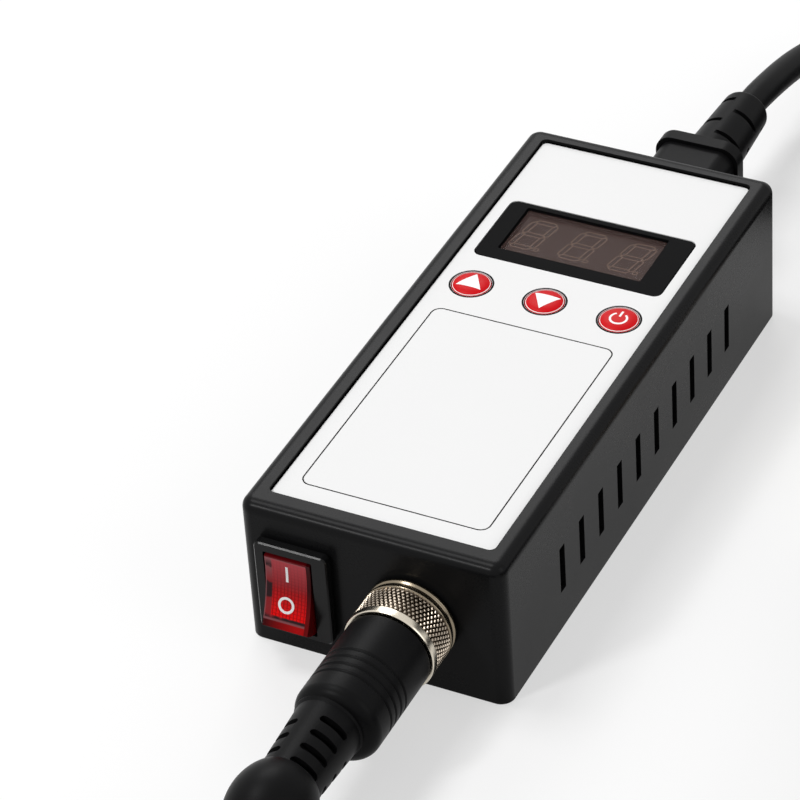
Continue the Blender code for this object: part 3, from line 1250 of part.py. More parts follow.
def make_cords():
    spacing = 2.0  # of a tube's points, in diameters
    for name, route, diameter in (
        ("mains_cord", MAINS_ROUTE, MAINS_CORD_DIAMETER),
        ("mains_cord_end", MAINS_END_ROUTE, MAINS_CORD_DIAMETER),
        ("handle_cable", HANDLE_ROUTE, HANDLE_CORD_DIAMETER),
        ("handle_cable_end", HANDLE_END_ROUTE, HANDLE_CORD_DIAMETER),
    ):
        tube(name, smooth_route(route, spacing * diameter), diameter)
    make_coil("mains", MAINS_COIL_AT, MAINS_COIL_RADIUS, MAINS_CORD_DIAMETER,
              MAINS_COIL_COLUMNS, math.radians(-90))
    make_coil("handle", HANDLE_COIL_AT, HANDLE_COIL_RADIUS, HANDLE_CORD_DIAMETER,
              HANDLE_COIL_COLUMNS, math.radians(45))


def handle_frame():
    """An empty at the middle of the handle's tail, with +Z along the handle to its nozzle."""
    heading = math.atan2(HANDLE_TIP[1] - HANDLE_TAIL[1], HANDLE_TIP[0] - HANDLE_TAIL[0])
    frame = bpy.data.objects.new("handle_frame", None)
    STATION.objects.link(frame)
    frame.matrix_world = (
        Matrix.Translation((*HANDLE_TAIL, HANDLE_HEIGHT))
        @ Matrix.Rotation(heading, 4, "Z")
        @ Matrix.Rotation(math.radians(90) + HANDLE_LEAN, 4, "Y")
    )
    return frame


def shell_profile(shrink, low, high):
    """The handle's outer line from low to high, pulled in by shrink."""
    line = [(TAIL_RADIUS, 0), (HEAD_RADIUS, HEAD_START), (HEAD_RADIUS, HEAD_END)]
    blend = (GRIP_START - HEAD_END) / 4
    drop = HEAD_RADIUS - GRIP_RADIUS
    line += [
        (GRIP_RADIUS + drop * (0.5 + 0.5 * math.cos(math.pi * k / 4)), HEAD_END + blend * k)
        for k in range(1, 4)
    ]
    line += [(GRIP_RADIUS, GRIP_START), (GRIP_RADIUS - 0.0006, (GRIP_START + GRIP_END) / 2),
             (GRIP_RADIUS, GRIP_END), (COLLAR_RADIUS, COLLAR_START), (COLLAR_RADIUS, SHELL_END)]
    inside = [(r - shrink, h) for r, h in line if low < h < high]
    radii = [r for r, _ in line]
    heights = [h for _, h in line]
    ends = [(float(np.interp(h, heights, radii)) - shrink, h) for h in (low, high)]
    return [ends[0], *inside, ends[1]]


def make_handle_shells(frame):
    stop = SHELL_END - 0.0015
    inside = shell_profile(SHELL_WALL, 0, stop)
    profile = shell_profile(0, 0, SHELL_END) + [(BARREL_RADIUS + GAP, SHELL_END),
                                                (BARREL_RADIUS + GAP, stop)] + inside[::-1]
    screws = cutter("handle_screw_holes", merged("handle_screw_holes", [
        handle_screw(place, GAP) for place in HANDLE_SCREW_PLACES
    ]), parent=frame)
    for side, sign in (("left", 1), ("right", -1)):
        half = part(f"handle_shell_{side}", turned(f"handle_shell_{side}", profile, 20,
                                                   ring=True),
                    (BLACK_ABS, 0.4), parent=frame)
        bosses = [
            moved(cylinder("boss", 0.0030, GAP, HANDLE_BOSS_REACH, 12), 0, 0, place,
                  Matrix.Rotation(math.radians(-90) * sign, 4, "X"))
            for place in HANDLE_SCREW_PLACES
        ]
        join(half, cutter(f"handle_bosses_{side}", merged("handle_bosses", bosses),
                          parent=frame))
        reach = 2 * HEAD_RADIUS
        cut(half, cutter(f"handle_split_{side}", block(
            "handle_split", (2 * reach, reach, SHELL_END + 0.02),
            low=(0, sign * (GAP / 2 - reach / 2), -0.01),
        ), parent=frame))
        cut(half, screws)


def handle_screw(place, room):
    """A screw across the two shells, or with room its hole. Its head is at -Y."""
    radius = HANDLE_SCREW_RADIUS + room
    head = HANDLE_SCREW_HEAD_RADIUS + room
    head_low = -GRIP_RADIUS - 0.0100 if room else -GRIP_RADIUS + 0.0005
    screw = turned("screw", [
        (0, 0.0070 + room), (radius, 0.0070 + room), (radius, -GRIP_RADIUS + 0.0020 + room),
        (head, -GRIP_RADIUS + 0.0020 + room), (head, head_low), (0, head_low),
    ], 12)
    return moved(screw, 0, 0, place, FACING_REAR)


def make_handle():
    frame = handle_frame()
    make_handle_shells(frame)
    for k, place in enumerate(HANDLE_SCREW_PLACES):
        part(f"handle_screw_{k + 1}", handle_screw(place, 0), (STEEL, 0.35, 1.0), parent=frame)
    grille = part("handle_grille", turned("handle_grille", [
        (GLAND_RADIUS + GAP, -GRILLE_THICKNESS - GAP), (TAIL_RADIUS - 0.0015,
                                                        -GRILLE_THICKNESS - GAP),
        (TAIL_RADIUS, -GRILLE_THICKNESS + 0.0010), (TAIL_RADIUS, -GAP),
        (GLAND_RADIUS + GAP, -GAP),
    ], 24, ring=True), (BLACK_ABS, 0.4), parent=frame)
    middle = (GRILLE_SLOT_INNER + GRILLE_SLOT_OUTER) / 2
    slots = [
        moved(block("slot", (GRILLE_SLOT_OUTER - GRILLE_SLOT_INNER, GRILLE_SLOT_WIDTH,
                             3 * GRILLE_THICKNESS), low=(middle, 0, -2 * GRILLE_THICKNESS)),
              turn=Matrix.Rotation(math.tau * k / GRILLE_SLOTS, 4, "Z"))
        for k in range(GRILLE_SLOTS)
    ]
    cut(grille, cutter("grille_slots", merged("grille_slots", slots), parent=frame))
    gland = part("handle_gland", turned("handle_gland", [
        (0, 0.0020), (GLAND_RADIUS + 0.0016, 0.0020), (GLAND_RADIUS + 0.0016, 0),
        (GLAND_RADIUS, 0), (GLAND_RADIUS, -GRILLE_THICKNESS - 0.0012),
        (GLAND_END_RADIUS, -GLAND_LENGTH), (0, -GLAND_LENGTH),
    ], 20), (BLACK_RUBBER, 0.5), parent=frame)
    rows = [-GLAND_LENGTH + 0.0030 + 0.0036 * k for k in range(4)]
    cut(gland, cutter("gland_slots", relief_slots(
        "gland_slots", rows, GLAND_END_RADIUS - 0.0010, GLAND_RADIUS, 0.0012, 0.0,
    ), parent=frame))
    make_fan(frame)
    make_heater(frame)


def make_fan(frame):
    rotor_end = ROTOR_START + ROTOR_LENGTH
    place = Matrix.Translation((0, 0, ROTOR_START))
    rotor = part("fan_rotor", turned("fan_rotor", [
        (SHAFT_RADIUS + SLIP, ROTOR_LENGTH), (ROTOR_HUB_RADIUS, ROTOR_LENGTH),
        (ROTOR_HUB_RADIUS, 0.0012), (ROTOR_HUB_RADIUS - 0.0012, 0), (SHAFT_RADIUS + SLIP, 0),
    ], 20, ring=True), (BLACK_ABS, 0.4), place, frame)
    blades = []
    length = ROTOR_RADIUS - ROTOR_HUB_RADIUS + 0.0010
    for k in range(ROTOR_BLADES):
        blade = block("blade", (length, ROTOR_BLADE_THICKNESS, ROTOR_LENGTH - 0.0020),
                      low=(ROTOR_HUB_RADIUS + length / 2 - 0.0010, 0, 0.0010))
        blade = moved(blade, turn=Matrix.Rotation(ROTOR_BLADE_LEAN, 4, "X"))
        blades.append(moved(blade, z=0, turn=Matrix.Rotation(math.tau * k / ROTOR_BLADES,
                                                            4, "Z")))
    join(rotor, cutter("rotor_blades", merged("rotor_blades", blades), place, frame))
    face = rotor_end + 2 * SLIP
    flange_radius = HEAD_RADIUS - SHELL_WALL - 1.5 * GAP
    motor = part("fan_motor", turned("fan_motor", [
        (0, face + MOTOR_LENGTH), (MOTOR_RADIUS - 0.0010, face + MOTOR_LENGTH),
        (MOTOR_RADIUS, face + MOTOR_LENGTH - 0.0010), (MOTOR_RADIUS, face + MOTOR_FLANGE),
        (flange_radius, face + MOTOR_FLANGE), (flange_radius, face),
        (SHAFT_RADIUS, face), (SHAFT_RADIUS, ROTOR_START + 0.0010), (0, ROTOR_START + 0.0010),
    ], 20), (STEEL, 0.4, 1.0), parent=frame)
    middle = (MOTOR_RADIUS + flange_radius) / 2
    ports = [
        cylinder("port", (flange_radius - MOTOR_RADIUS) / 2 - 0.0008, face - 0.001,
                 face + MOTOR_FLANGE + 0.001, 14, middle * math.cos(math.tau * k / MOTOR_PORTS),
                 middle * math.sin(math.tau * k / MOTOR_PORTS))
        for k in range(MOTOR_PORTS)
    ]
    cut(motor, cutter("motor_ports", merged("motor_ports", ports), parent=frame))


def make_heater(frame):
    collar_start = SHELL_END + GAP
    part("heater_collar", turned("heater_collar", [
        (BARREL_RADIUS + GAP, collar_start + HEATER_COLLAR_LENGTH),
        (BARREL_RADIUS + 0.0020, collar_start + HEATER_COLLAR_LENGTH),
        (COLLAR_RADIUS - 0.0006, collar_start + 0.0010), (COLLAR_RADIUS - 0.0006, collar_start),
        (BARREL_RADIUS + GAP, collar_start),
    ], 20, ring=True), (STEEL, 0.35, 1.0), parent=frame)
    inner = BARREL_RADIUS - BARREL_WALL
    barrel = part("heater_barrel", turned("heater_barrel", [
        (inner, BARREL_END), (BARREL_RADIUS, BARREL_END), (BARREL_RADIUS, BARREL_START),
        (inner, BARREL_START),
    ], 20, ring=True), (STEEL, 0.3, 1.0), parent=frame)
    port_row = collar_start + HEATER_COLLAR_LENGTH + 0.0060
    ports = [
        moved(cylinder("port", BARREL_PORT_RADIUS, 0, 2 * BARREL_RADIUS, 8), z=port_row,
              turn=Matrix.Rotation(math.tau * k / BARREL_PORTS, 4, "Z")
              @ Matrix.Rotation(math.radians(90), 4, "Y"))
        for k in range(BARREL_PORTS)
    ]
    cut(barrel, cutter("barrel_ports", merged("barrel_ports", ports), parent=frame))
    cross = cross_outline(inner - 1.5 * GAP, CORE_WEB / 2)
    start = collar_start + HEATER_COLLAR_LENGTH / 2
    part("heating_core", moved(plate("heating_core", [cross], CORE_LENGTH),
                               z=start + CORE_LENGTH / 2), ((0.60, 0.55, 0.48), 0.7),
         parent=frame)
    make_nozzle(frame)


def cross_outline(reach, web):
    """The heating core's section: four webs that touch the barrel's wall."""
    tip = math.sqrt(reach**2 - web**2)
    outline = []
    for k in range(4):
        turn = Matrix.Rotation(math.radians(90) * k, 2)
        outline += [tuple(turn @ Vector(p)) for p in ((tip, -web), (tip, web), (web, web))]
    return outline


def make_nozzle(frame):
    bore = BARREL_RADIUS + GAP
    clamp = NOZZLE_CLAMP_RADIUS
    start = CLAMP_START
    shoulder = BARREL_END + GAP
    tip = start + NOZZLE_LENGTH
    nozzle = part("nozzle", turned("nozzle", [
        (bore, start), (clamp, start), (clamp, shoulder),
        (clamp - NOZZLE_SHOULDER, shoulder + NOZZLE_CLAMP_WALL),
        (NOZZLE_TIP_RADIUS, tip - NOZZLE_TIP_LENGTH), (NOZZLE_TIP_RADIUS, tip),
        (NOZZLE_TIP_RADIUS - NOZZLE_WALL, tip),
        (NOZZLE_TIP_RADIUS - NOZZLE_WALL, tip - NOZZLE_TIP_LENGTH),
        (clamp - NOZZLE_SHOULDER - NOZZLE_WALL, shoulder), (bore, shoulder),
    ], 20, ring=True), (STEEL, 0.3, 1.0), parent=frame)
    ear_thickness, slit = CLAMP_EAR_THICKNESS, CLAMP_SLIT
    ear_low = start + 0.0015
    ear_length = NOZZLE_CLAMP_LENGTH - 0.0030
    # The clamp's ears stand to the side, clear of the surface that the handle lies on.
    ears = [
        block("ear", (ear_thickness, CLAMP_EAR, ear_length),
              low=(sx * (slit / 2 + ear_thickness / 2), (bore + clamp + CLAMP_EAR) / 2, ear_low))
        for sx in (-1, 1)
    ]
    join(nozzle, cutter("clamp_ears", merged("clamp_ears", ears), parent=frame))
    cut(nozzle, cutter("clamp_slit", block(
        "clamp_slit", (slit, 2 * CLAMP_EAR, NOZZLE_CLAMP_LENGTH),
        low=(0, bore + CLAMP_EAR / 2, start - 0.001),
    ), parent=frame))
    middle = ear_low + ear_length / 2
    across = Matrix.Rotation(math.radians(90), 4, "Y")
    height = clamp + GAP + CLAMP_SCREW_HEAD_RADIUS
    reach = 2 * (slit + ear_thickness)
    hole = moved(cylinder("clamp_hole", CLAMP_SCREW_RADIUS + GAP, -reach, reach, 10),
                 0, height, middle, across)
    cut(nozzle, cutter("clamp_hole", hole, parent=frame))
    outside = slit / 2 + ear_thickness + GAP
    screw = turned("nozzle_screw", [
        (0, outside + 0.0018), (CLAMP_SCREW_HEAD_RADIUS, outside + 0.0018),
        (CLAMP_SCREW_HEAD_RADIUS, outside), (CLAMP_SCREW_RADIUS, outside),
        (CLAMP_SCREW_RADIUS, -outside - 0.0020), (0, -outside - 0.0020),
    ], 14)
    part("nozzle_screw", moved(screw, 0, height, middle, across), (STEEL, 0.3, 1.0),
         parent=frame)


make_top_shell()
make_bottom_cover()
make_label()
make_window()
make_display_board()
make_buttons()
make_power_board()
make_rocker()
make_panel_socket()
make_round_plug()
make_inlet()
make_connector()
make_wall_plug()
make_cords()
make_handle()
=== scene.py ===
import math

import bmesh
import bpy
import numpy as np
from mathutils import Matrix, Vector


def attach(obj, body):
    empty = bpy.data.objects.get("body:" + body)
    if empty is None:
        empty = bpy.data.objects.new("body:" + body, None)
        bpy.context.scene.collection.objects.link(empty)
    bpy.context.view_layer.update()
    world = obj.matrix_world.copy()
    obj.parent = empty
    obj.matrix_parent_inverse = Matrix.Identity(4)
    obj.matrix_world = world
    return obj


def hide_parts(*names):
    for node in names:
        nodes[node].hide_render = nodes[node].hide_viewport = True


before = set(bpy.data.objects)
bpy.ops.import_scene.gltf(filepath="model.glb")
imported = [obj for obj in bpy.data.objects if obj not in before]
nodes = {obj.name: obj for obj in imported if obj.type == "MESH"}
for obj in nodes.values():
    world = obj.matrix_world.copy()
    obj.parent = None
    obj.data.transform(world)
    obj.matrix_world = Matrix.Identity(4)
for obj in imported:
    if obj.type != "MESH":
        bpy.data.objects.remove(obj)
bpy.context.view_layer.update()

# a piece that doesn't face up is made along +Z and then turned
facingFront = Matrix.Rotation(math.radians(90), 4, "X")
facingRear = Matrix.Rotation(math.radians(-90), 4, "X")
facingRight = Matrix.Rotation(math.radians(90), 4, "Y")
axesRound = Matrix(((0, 0, 1, 0), (1, 0, 0, 0), (0, 1, 0, 0), (0, 0, 0, 1)))  # X, Y, Z to Y, Z, X

case = {
    "width": 0.0550, "length": 0.1340, "height": 0.0332, "wall": 0.0022, "roof": 0.0030,
    "corner": 0.0028, "fillet": 0.0025, "front": -0.0670, "rear": 0.0670,
    "recess": 0.0317, "labelFront": -0.0620, "labelRear": 0.0634, "labelHalf": 0.0235,
    "labelCorner": 0.0013,
}
body = "station"

# the handle lies to the right of the case; its pieces are made upright, tail at the origin
handle = {
    "tail": (0.1296, -0.1146), "tip": (0.0540, 0.0760), "headRadius": 0.0190, "headStart": 0.0060,
    "headEnd": 0.0400, "tailRadius": 0.0175, "gripStart": 0.0600, "gripRadius": 0.0130,
    "gripEnd": 0.1080, "neckRadius": 0.0147, "neckStart": 0.1160, "end": 0.1260, "wall": 0.0020,
    "gap": 0.0003, "clampRadius": 0.0124, "barrelRadius": 0.0110, "barrelStart": 0.1160,
    "barrelEnd": 0.1860, "screws": (0.0680, 0.1000), "boss": 0.0030, "waist": 0.0006,
    "groove": 0.00045, "groovePitch": 0.0040, "grooved": 0.0125,
}
handleTurn = math.atan2(handle["tip"][1] - handle["tail"][1], handle["tip"][0] - handle["tail"][0])
handleLean = math.atan((handle["headRadius"] - handle["clampRadius"])
                       / (handle["barrelEnd"] - handle["headEnd"]))
handleTail = (*handle["tail"], handle["headRadius"] / math.cos(handleLean)
              + handle["headEnd"] * math.tan(handleLean) + handle["gap"])
alongHandle = (Matrix.Translation(handleTail) @ Matrix.Rotation(handleTurn, 4, "Z")
               @ Matrix.Rotation(math.radians(90) + handleLean, 4, "Y"))
handleAxis = tuple(alongHandle.to_3x3() @ Vector((0, 0, 1)))

# the camera stands where the photograph was taken from
view = {"azimuth": 28.61, "elevation": 37.90, "roll": -4.14, "lens": 183.06,
        "place": (0.28417, -0.57150, 0.51525)}


def makeCamera():
    az, el, roll = (math.radians(view[k]) for k in ("azimuth", "elevation", "roll"))
    back = Vector((math.sin(az) * math.cos(el), -math.cos(az) * math.cos(el), math.sin(el)))
    level = Vector((math.cos(az), math.sin(az), 0))
    up = back.cross(level)
    right = math.cos(roll) * level + math.sin(roll) * up
    up = -math.sin(roll) * level + math.cos(roll) * up
    data = bpy.data.cameras.new("camera")
    data.lens = view["lens"]
    data.sensor_width = 36
    data.clip_start = 0.01
    camera = bpy.data.objects.new("camera", data)
    bpy.context.scene.collection.objects.link(camera)
    axes = Matrix((right, up, back)).transposed().to_4x4()
    camera.matrix_world = Matrix.Translation(view["place"]) @ axes
    bpy.context.scene.camera = camera


makeCamera()
print("camera placed")


# shader maths: a socket that takes + - * and the like
class Wire:
    def __init__(self, finish, socket):
        self.finish, self.socket = finish, socket

    def maths(self, operation, *others):
        return self.finish.add("Math", {"operation": operation}, *(self, *others))

    def __add__(self, other):
        return self.maths("ADD", other)

    def __radd__(self, other):
        return self.maths("ADD", other)

    def __sub__(self, other):
        return self.maths("SUBTRACT", other)

    def __rsub__(self, other):
        return self.maths("MULTIPLY", -1) + other

    def __mul__(self, other):
        return self.maths("MULTIPLY", other)

    def __rmul__(self, other):
        return self.maths("MULTIPLY", other)

    def __truediv__(self, other):
        return self.maths("DIVIDE", other)

    def __gt__(self, other):
        return self.maths("GREATER_THAN", other)

    def __lt__(self, other):
        return self.maths("LESS_THAN", other)


class Finish:
    # one material: set() gives values to the shader, add() makes any other node
    def __init__(self, name, colour, roughness, metallic=0.0):
        self.material = bpy.data.materials.new(name)
        self.material.use_nodes = True
        self.tree = self.material.node_tree
        self.shader = self.tree.nodes["Principled BSDF"]
        self.set(**{"Base Color": (*colour, 1), "Roughness": roughness, "Metallic": metallic})

    def feed(self, socket, value):
        if isinstance(value, Wire):
            self.tree.links.new(value.socket, socket)
        else:
            socket.default_value = value

    def set(self, **values):
        for name, value in values.items():
            self.feed(self.shader.inputs[name.replace("_", " ")], value)

    def add(self, kind, settings, *values, out=0, **named):
        node = self.tree.nodes.new("ShaderNode" + kind)
        for name, value in settings.items():
            setattr(node, name, value)
        for k, value in enumerate(values):
            self.feed(node.inputs[k], value)
        for name, value in named.items():
            self.feed(node.inputs[name], value)
        return Wire(self, node.outputs[out])

    def place(self):
        return self.add("TexCoord", {}, out=3)

    def noise(self, scale, detail=3.0, rough=0.55):
        return self.add("TexNoise", {}, Vector=self.place(), Scale=scale, Detail=detail,
                        Roughness=rough)

    def ramp(self, value, low, high):
        # 0 below low, 1 above high
        return self.add("MapRange", {}, value, low, high, 0.0, 1.0)

    def axes(self):
        node = self.add("SeparateXYZ", {}, self.place()).socket.node
        return [Wire(self, socket) for socket in node.outputs]

    def blend(self, mask, one, two):
        # one where the mask is 0, two where it is 1
        node = self.tree.nodes.new("ShaderNodeMix")
        node.data_type = "RGBA"
        self.feed(node.inputs[0], mask)
        for socket, value in ((node.inputs[6], one), (node.inputs[7], two)):
            self.feed(socket, value if isinstance(value, Wire) else (*value, 1))
        return Wire(self, node.outputs[2])

    def bump(self, height, strength, distance=0.0001):
        self.set(Normal=self.add("Bump", {}, Height=height, Strength=strength,
                                 Distance=distance))
        return self


def moulded(name, colour, roughness, grain=2600, strength=0.25, spread=0.12, vary=0.16,
            specular=0.5, shade=None):
    # moulded plastic or rubber: a fine spark-eroded grain and a little wandering of the gloss
    made = Finish(name, colour, roughness)
    fine = made.noise(grain, 2.0)
    slow = made.noise(45, 3.0)
    made.set(Roughness=roughness - spread / 2 + slow * spread + fine * 0.05)
    made.shader.inputs["Specular IOR Level"].default_value = specular
    dark = tuple((1 - vary) * c for c in colour)
    light = tuple(min(1, (1 + vary) * c) for c in colour)
    base = made.blend(slow, dark, light)
    # painted shade: where the shade mask is 1 the colour is darkened to 0.15 of itself
    if shade:
        base = made.blend(shade(made), base, tuple(0.15 * c for c in colour))
    made.set(**{"Base Color": base})
    return made.bump(fine, strength, 0.00002).material


def recessShade(made):
    # painted shade: the walls of the label's recess, which no light reaches, painted dark
    x, y, z = made.axes()
    past, below = 0.00006, 0.0007
    return ((x.maths("ABSOLUTE") < case["labelHalf"] + past) * (y > case["labelFront"] - past)
            * (y < case["labelRear"] + past) * (z > case["recess"] - below))


def metal(name, colour, roughness, scale=900):
    made = Finish(name, colour, roughness, 1.0)
    fine = made.noise(scale, 3.0, 0.5)
    slow = made.noise(60, 3.0)
    made.set(Roughness=roughness - 0.06 + fine * 0.10 + slow * 0.05)
    made.set(**{"Base Color": made.blend(slow, tuple(0.90 * c for c in colour), colour)})
    return made.bump(fine, 0.15, 0.00002).material


paints = {
    # the case's colour carries painted shade on the walls of the label's recess
    "case": moulded("case plastic", (0.0065, 0.0065, 0.0069), 0.26, 2200, 0.16, specular=0.070,
                    shade=recessShade),
    "frame": moulded("window frame", (0.006, 0.006, 0.0063), 0.42, 2600, 0.08, specular=0.012),
    "handle": moulded("handle plastic", (0.012, 0.012, 0.0125), 0.44, 1500, 0.30,
                      specular=0.18),
    "component": moulded("component body", (0.030, 0.030, 0.031), 0.50, 1800, 0.15),
    "bezel": moulded("bezel plastic", (0.005, 0.005, 0.0053), 0.22, 2600, 0.01, 0.06,
                     specular=0.14),
    "rubber": moulded("boot rubber", (0.0045, 0.0045, 0.0048), 0.36, 1900, 0.14, specular=0.055),
    "cord": moulded("cord jacket", (0.0055, 0.0055, 0.0058), 0.40, 1400, 0.16, specular=0.07),
    "film": moulded("label film", (0.80, 0.80, 0.80), 0.42, 1600, 0.05, 0.04, 0.012, 0.06),
    "white": moulded("white plastic", (0.80, 0.80, 0.78), 0.40, 1600, 0.08, vary=0.02),
    "ink": moulded("black ink", (0.004, 0.004, 0.004), 0.50, 1600, 0.04, specular=0.05),
    "whiteInkAndHighlight": moulded("white ink", (0.92, 0.92, 0.92), 0.38, 1600, 0.04, vary=0.02,
                        specular=0.1),
    "red": moulded("button red", (0.58, 0.004, 0.008), 0.34, 1600, 0.05, 0.08, 0.06,
                   specular=0.08),
    "nickel": metal("champagne nickel", (0.50, 0.44, 0.38), 0.20),
    "steel": metal("bright steel", (0.62, 0.62, 0.63), 0.28, 700),
    "brass": metal("brass", (0.78, 0.60, 0.30), 0.25),
    "aluminium": metal("aluminium", (0.66, 0.67, 0.68), 0.36, 500),
    "blueSleeve": moulded("capacitor sleeve", (0.012, 0.022, 0.075), 0.32, 900, 0.06),
    "neon": moulded("neon lamp", (0.70, 0.30, 0.18), 0.12, 900, 0.02),
}


def makeBoardPaint():
    # solder mask with copper tracks under it
    made = Finish("circuit board", (0.012, 0.10, 0.045), 0.35)
    tracks = made.add("TexBrick", {"offset": 0.5}, Vector=made.place(), Scale=240.0,
                      **{"Mortar Size": 0.06}, out=1)
    made.set(**{"Base Color": made.blend(tracks, (0.010, 0.085, 0.040), (0.03, 0.17, 0.07))})
    return made.bump(tracks, 0.3, 0.00003).material


def makeStrapPaint():
    # a woven strap: ribs across it from two crossed waves
    made = Finish("woven strap", (0.02, 0.02, 0.021), 0.75)
    one = made.add("TexWave", {"bands_direction": "X"}, Vector=made.place(), Scale=420.0)
    two = made.add("TexWave", {"bands_direction": "Z"}, Vector=made.place(), Scale=420.0)
    weave = one * 0.5 + two * 0.5
    made.set(**{"Base Color": made.blend(weave, (0.012, 0.012, 0.012), (0.04, 0.04, 0.042))})
    return made.bump(weave, 0.8, 0.00015).material


def makeMicaPaint():
    made = Finish("mica and wire", (0.55, 0.48, 0.38), 0.6)
    coil = made.add("TexWave", {"bands_direction": "Z"}, Vector=made.place(), Scale=380.0,
                    Distortion=1.0)
    made.set(**{"Base Color": made.blend(coil, (0.30, 0.26, 0.22), (0.66, 0.58, 0.45))})
    return made.bump(coil, 0.6, 0.0002).material


def makeWindowPaint():
    # a dark brown filter over the digits
    made = Finish("tinted window", (0.075, 0.045, 0.040), 0.10)
    made.shader.inputs["Specular IOR Level"].default_value = 0.015
    made.set(Alpha=0.36 + made.noise(60) * 0.04, Roughness=0.08 + made.noise(90) * 0.04)
    return made.material


def makeDigitPaint():
    # the unlit face of the digits: a warm grey with a fine mottle
    made = Finish("digit face", (0.10, 0.07, 0.058), 0.5)
    fine = made.noise(1500, 4.0)
    made.set(**{"Base Color": made.blend(fine, (0.060, 0.036, 0.030), (0.105, 0.070, 0.060))})
    return made.bump(fine, 0.3, 0.00005).material


def makeSegmentPaint():
    made = Finish("unlit segment", (0.27, 0.20, 0.15), 0.35)
    fine = made.noise(1800, 4.0)
    made.set(**{"Base Color": made.blend(fine, (0.30, 0.19, 0.13), (0.58, 0.40, 0.29))})
    return made.bump(fine, 0.3, 0.00005).material


def makeHeatedPaint(name, colour, tinted, start, end):
    # bare steel that has taken straw and blue tints between two places along the handle
    made = Finish(name, colour, 0.3, 1.0)
    x, y, z = made.axes()
    along = sum(c * (v - p) for c, v, p in zip(handleAxis, (x, y, z), handleTail))
    drift = made.noise(120, 3.0)
    warm = made.ramp(along + drift * 0.010, start, end)
    hot = made.ramp(along + drift * 0.008, end - 0.012, end + 0.010)
    straw = made.blend(warm, colour, tinted)
    made.set(**{"Base Color": made.blend(hot * 0.8, straw, (0.20, 0.19, 0.24))})
    made.set(Roughness=0.26 + drift * 0.12)
    return made.bump(made.noise(900, 2.0), 0.12, 0.00002).material


paints["barrel"] = makeHeatedPaint("heated steel", (0.60, 0.57, 0.53), (0.52, 0.42, 0.29),
                                   0.135, 0.178)
paints["nozzle"] = makeHeatedPaint("nozzle steel", (0.62, 0.61, 0.60), (0.46, 0.38, 0.28),
                                   0.180, 0.206)
paints["board"] = makeBoardPaint()
paints["strap"] = makeStrapPaint()
paints["mica"] = makeMicaPaint()
paints["window"] = makeWindowPaint()
paints["digits"] = makeDigitPaint()
paints["segment"] = makeSegmentPaint()
print("materials made")


# mesh helpers
def meshOf(shape, name):
    mesh = bpy.data.meshes.new(name)
    shape.to_mesh(mesh)
    shape.free()
    return mesh


def piece(name, mesh, paint, rides, replaces=(), sharp=32):
    mesh.shade_smooth()
    mesh.set_sharp_from_angle(angle=math.radians(sharp))
    soft = helper(name, mesh)
    soft.modifiers.new("even normals", "WEIGHTED_NORMAL").keep_sharp = True
    made = helper(name, baked(soft))
    made.name = made.data.name = name
    made.data.materials.clear()
    made.data.materials.append(paints[paint])
    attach(made, rides)
    if replaces:
        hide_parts(*replaces)
    return made


def baked(obj):
    # the evaluated mesh of a helper object, which is then removed
    bpy.context.view_layer.update()
    mesh = bpy.data.meshes.new_from_object(
        obj.evaluated_get(bpy.context.evaluated_depsgraph_get())
    )
    bpy.data.objects.remove(obj)
    return mesh


def helper(name, data):
    made = bpy.data.objects.new(name, data)
    bpy.context.scene.collection.objects.link(made)
    return made


def moved(mesh, *turns):
    for turn in turns:
        mesh.transform(turn)
    return mesh


def shift(x=0.0, y=0.0, z=0.0):
    return Matrix.Translation((x, y, z))


def turnZ(angle):
    return Matrix.Rotation(angle, 4, "Z")


def merged(name, meshes):
    shape = bmesh.new()
    for each in meshes:
        shape.from_mesh(each)
    return meshOf(shape, name)


def tidied(mesh):
    shape = bmesh.new()
    shape.from_mesh(mesh)
    bmesh.ops.remove_doubles(shape, verts=shape.verts, dist=0.000001)
    bmesh.ops.recalc_face_normals(shape, faces=shape.faces)
    shape.to_mesh(mesh)
    shape.free()
    return mesh


def lathe(profile, steps=96, ring=False):
    # (radius, height) points turned about Z; a ring's points close on themselves
    points = [Vector((max(r, 0.0), 0, h)) for r, h in profile]
    shape = bmesh.new()
    verts = [shape.verts.new(p) for p in points]
    edges = [shape.edges.new(pair) for pair in zip(verts, verts[1:])]
    if ring:
        edges.append(shape.edges.new((verts[-1], verts[0])))
    bmesh.ops.spin(
        shape, geom=verts + edges, cent=(0, 0, 0), axis=(0, 0, 1), angle=math.tau,
        steps=steps, use_merge=True, use_duplicate=False,
    )
    bmesh.ops.remove_doubles(shape, verts=shape.verts, dist=0.0000005)
    bmesh.ops.recalc_face_normals(shape, faces=shape.faces)
    return meshOf(shape, "lathe")


def rounded(profile, radius, steps=4):
    # the profile with each inner corner replaced by a small arc
    out = [profile[0]]
    for before, corner, after in zip(profile, profile[1:], profile[2:]):
        c = Vector(corner)
        a, b = Vector(before) - c, Vector(after) - c
        reach = min(radius, 0.45 * a.length, 0.45 * b.length)
        if reach < 1e-7 or a.length < 1e-9 or b.length < 1e-9:
            out.append(corner)
            continue
        p, q = c + a.normalized() * reach, c + b.normalized() * reach
        for k in range(steps + 1):
            t = k / steps
            out.append(tuple((1 - t) ** 2 * p + 2 * t * (1 - t) * c + t**2 * q))
    out.append(profile[-1])
    return out


def box(size, place=(0, 0, 0), soft=0.0, steps=3, turn=None):
    shape = bmesh.new()
    bmesh.ops.create_cube(shape, size=1.0)
    bmesh.ops.scale(shape, vec=Vector(size), verts=shape.verts)
    if soft:
        bmesh.ops.bevel(shape, geom=shape.edges[:], offset=soft, segments=steps, profile=0.5,
                        affect="EDGES")
    mesh = meshOf(shape, "box")
    if turn is not None:
        mesh.transform(turn)
    mesh.transform(Matrix.Translation(place))
    return mesh


